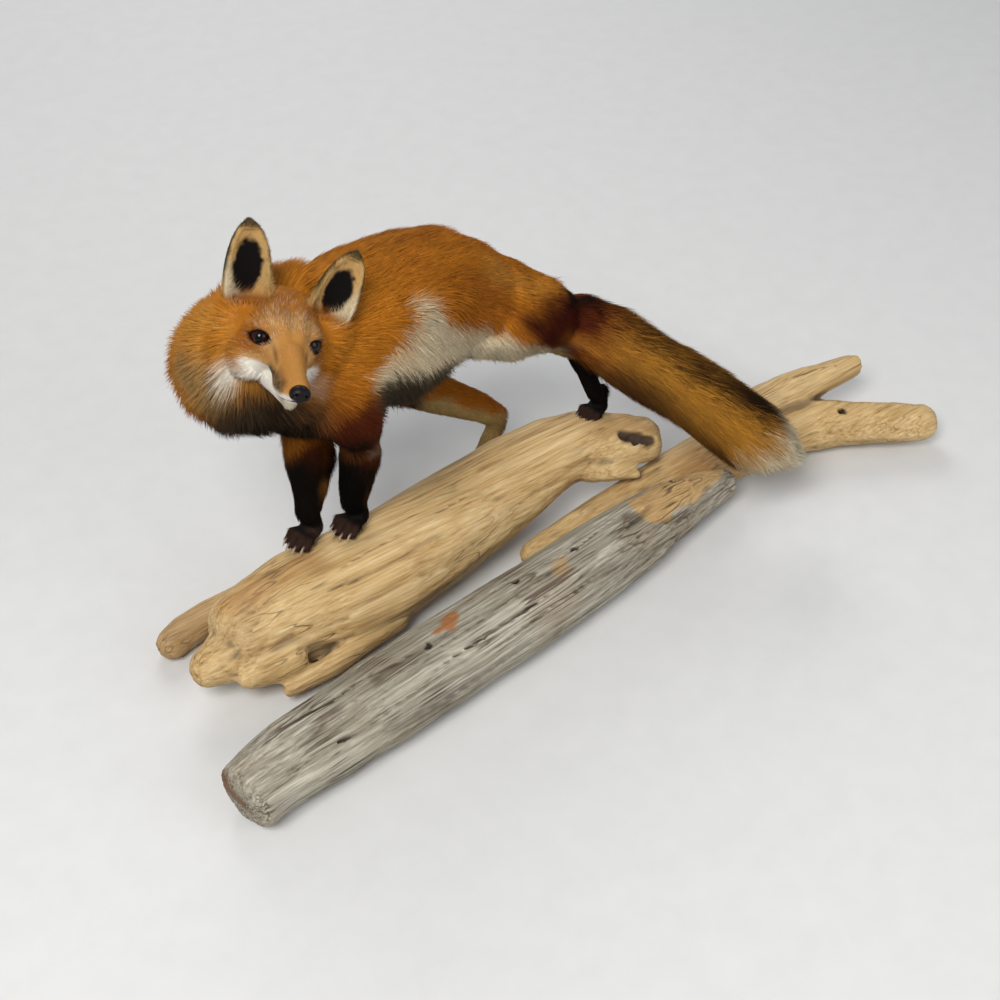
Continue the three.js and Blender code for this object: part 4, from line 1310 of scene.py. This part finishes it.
def tufts(name, place, normal, flow, uv, length, half, lift, shades, rings):
    """One mesh of tufts. Each starts under the skin, rises by lift, droops and ends in a point.
    shades holds the colours at its root, its middle and its tip."""
    count = len(place)
    root, middle, tip = shades
    side = unit(np.cross(normal, flow))
    # Each tuft is shaded with the lie of the skin under it, so the coat looks soft; hair under
    # the body catches light from above, as a strand does, and not only from below.
    above = unit(np.array([0, 0, 1.0]) - flow * flow[:, 2:])
    soft = unit(normal + above * (0.2 + 1.0 * smooth(0.4, -0.6, normal[:, 2]))[:, None])
    sway = RNG.normal(0, 0.10, count)[:, None]
    stops, fat = ([0.0, 1.0], [1.2, 0.0]) if rings == 1 else ([0.0, 0.45, 1.0], [0.75, 1.0, 0.0])
    rows, colours, shading, across = [], [], [], []
    for s, f in zip(stops, fat):
        rise, ahead = (np.sin(lift) * (s - DROOP * s * s))[:, None], (np.cos(lift) * s)[:, None]
        centre = place - normal * ROOT_DEPTH + (flow * ahead + normal * rise) * length[:, None]
        centre = centre + side * sway * (s * s) * length[:, None]
        shade = mix(root, middle, min(s / 0.45, 1)) if s <= 0.45 else mix(middle, tip, (s - 0.45) / 0.55)
        if f == 0:
            rows.append(centre[:, None])
            colours.append(shade[:, None])
            shading.append(unit(soft + 0.25 * flow)[:, None])
            across.append(np.array([[0.0, s]]))
            continue
        w = (half * f)[:, None]
        tall = unit(normal * np.cos(lift)[:, None] - flow * np.sin(lift)[:, None])
        rows.append(np.stack([centre + side * w, centre + tall * w * 0.62, centre - side * w], axis=1))
        colours.append(np.repeat(shade[:, None], 3, axis=1))
        shading.append(unit(soft[:, None] + 0.4 * np.stack([side, 0 * side, -side], axis=1)))
        across.append(np.array([[1.0, s], [0.0, s], [-1.0, s]]))
    verts = np.concatenate(rows, axis=1)
    verts[..., 2] = np.maximum(verts[..., 2], 0.3)
    per = verts.shape[1]
    faces = [(0, 1, 2)]
    for o in range(0, 3 * (rings - 1), 3):
        for k in range(3):
            a, b = o + k, o + (k + 1) % 3
            faces += [(a, b + 3, b), (a, a + 3, b + 3)]
    o = 3 * (rings - 1)
    faces += [(o + k, per - 1, o + (k + 1) % 3) for k in range(3)]
    faces = np.array(faces)[:, ::-1]
    face = (faces[None] + (np.arange(count) * per)[:, None, None]).reshape(-1, 3)
    obj = make_object(name, verts.reshape(-1, 3), face)
    paint(obj, "coat", np.concatenate(colours, axis=1).reshape(-1, 3))
    patch = uv[:, None] + UV_PATCH * (np.concatenate(across) * [1, 2] - [0, 1])[None]
    layer = obj.data.uv_layers.new(name="OFBake")
    layer.data.foreach_set("uv", patch.reshape(-1, 2)[face.ravel()].astype(np.float32).ravel())
    obj.data.normals_split_custom_set_from_vertices(np.concatenate(shading, axis=1).reshape(-1, 3))
    fit(obj, FUR, "coat")


place, normal, root_uv = skin_roots(int(TUFT_COUNT * (1.0)), face_density)
part = nearest_parts(place)
flow = lie(place, normal, part)
h = to_head(place)
x, z = place[:, 0], place[:, 2]
trunk, in_tail, in_head = (share_of(part, k) for k in ("trunk", "tail", "head"))

# Length, half width and lift, first by part, then on the face: shortest on the muzzle and
# round the eyes, longer on the crown and cheeks
length, half = (part @ coat_values(k) for k in ("length", "half"))
lift = np.radians(part @ coat_values("lift"))
muzzle = smooth(-6, 20, h[:, 0])
cheek = smooth(-8, -34, h[:, 0]) * smooth(2, -16, h[:, 2])
eye_near = np.minimum(*[np.linalg.norm(h - EYE_AT * [1, side, 1], axis=1) for side in (1, -1)])
eye_near = smooth(22, 10, eye_near)
face_length = 9.0 - 5.2 * muzzle + 13 * cheek
face_length = np.minimum(face_length, mix(face_length, 3.6, eye_near))
length = mix(length, face_length, in_head)
half = mix(half, 0.40 - 0.10 * muzzle + 0.14 * cheek, in_head)
lift = mix(lift, np.radians(15 + 8 * cheek), in_head)
# Longer under the belly, on the white flank, behind the elbows and at the end of the brush
tail_t, tail_above = along_tail(place)
toward_end = smooth(0.78, 0.95, tail_t)
belly = trunk * smooth(0.0, -0.7, normal[:, 2])
length = length * (1 + 0.35 * belly)
white_flank = smooth(-195, -165, x) * smooth(-60, -110, x) * smooth(380, 340, z) * trunk
length = length * (1 + 0.45 * white_flank)
elbow_fringe = share_of(part, "shin") * smooth(0.2, 0.8, normal[:, 0]) * smooth(140, 190, z)
length = length * (1 + 0.9 * elbow_fringe)
length = length * (1 - 0.35 * in_tail * smooth(0.12, 0.0, tail_t))
length = length * (1 + 0.15 * in_tail * toward_end)
lift = lift * (1 - 0.75 * in_tail * toward_end)
brush_end = in_tail * smooth(0.4, 0.8, normal @ BRUSH_AIM) * (tail_t > 0.72)
lift = mix(lift, np.radians(66), brush_end)  # hair on the very end stands straight out
for name, _ in EAR_SIDES:
    shell, hollow = ear_field(h, name)
    _, _, up_ear = ear_coordinates(h, name)
    on_ear = smooth(5, 2.5, shell) * smooth(-0.05, 0.1, up_ear)
    low_cup = smooth(2.5, 1.0, hollow) * smooth(0.42, 0.12, up_ear)
    length = mix(length, 4.6 + 4.0 * low_cup, on_ear)
    half = mix(half, 0.32, on_ear)
    lift = mix(lift, np.radians(17), on_ear)
length = length * (0.78 + 0.44 * RNG.random(len(place)))
lift = lift * (0.75 + 0.5 * RNG.random(len(place)))

# Colours: the markings at the root and a little ahead along the flow, clumps, and flecks on the face
ahead = length * (0.3 + 0.5 * RNG.random(len(place)))
colour, colour_ahead = (markings(q, normal, nearest_parts(q)) for q in (place, place + flow * ahead[:, None]))
bright = np.exp(RNG.normal(0, 0.11, len(place)))[:, None] * (1 + 0.12 * noise(place, 9, 30)[:, None])
bright = bright * (1 + 0.08 * noise(place, 30, 31)[:, None])
fleck = in_head * smooth(-44, -20, h[:, 0]) * smooth(-26, -16, h[:, 2])
fleck = (fleck * mix(1.0, 0.7, smooth(24, 40, h[:, 0])))[:, None]
pick = RNG.random((len(place), 1))
colour_ahead = mix(colour_ahead, C["snow"] * 0.8, fleck * 0.55 * (pick < 0.16))
colour_ahead = mix(colour_ahead, C["tear"], fleck * 0.6 * (pick > 0.82))
# Roots are darker, more so in longer hair: painted shade deep in the coat.
root_shade = colour * mix(0.88, 0.78, smooth(10, 30, length)[:, None]) * bright
middle_shade = mix(colour, colour_ahead, 0.5) * bright
tip_shade = np.clip(colour_ahead * bright * (1.10 + 0.06 * RNG.normal(0, 1, (len(place), 1))), 0, 0.95)
dark_tips = (0.04 * trunk * smooth(0.3, 0.9, normal[:, 2])
             + 0.5 * in_tail * smooth(0.55, 0.95, tail_above) * smooth(0.78, 0.7, tail_t))
tip_shade = np.where((RNG.random(len(place)) < dark_tips)[:, None], C["soot"] * 1.4, tip_shade)

bent = RNG.random(len(place)) < BENT_SHARE * smooth(11, 16, length)
order = np.lexsort((x, bent))
for rings, kind, chosen in ((1, "straight", order[~bent[order]]), (2, "bent", order[bent[order]])):
    pieces = max(1, int(math.ceil(len(chosen) * TRIANGLES[rings] / MOST_TRIANGLES)))
    for i, ids in enumerate(np.array_split(chosen, pieces)):
        tufts(f"coat_{kind}_{i + 1}", place[ids], normal[ids], flow[ids], root_uv[ids], length[ids],
              half[ids], lift[ids], [shade[ids] for shade in (root_shade, middle_shade, tip_shade)], rings)

size = {"cad": CAD_BOX, "visual": corners(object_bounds())}
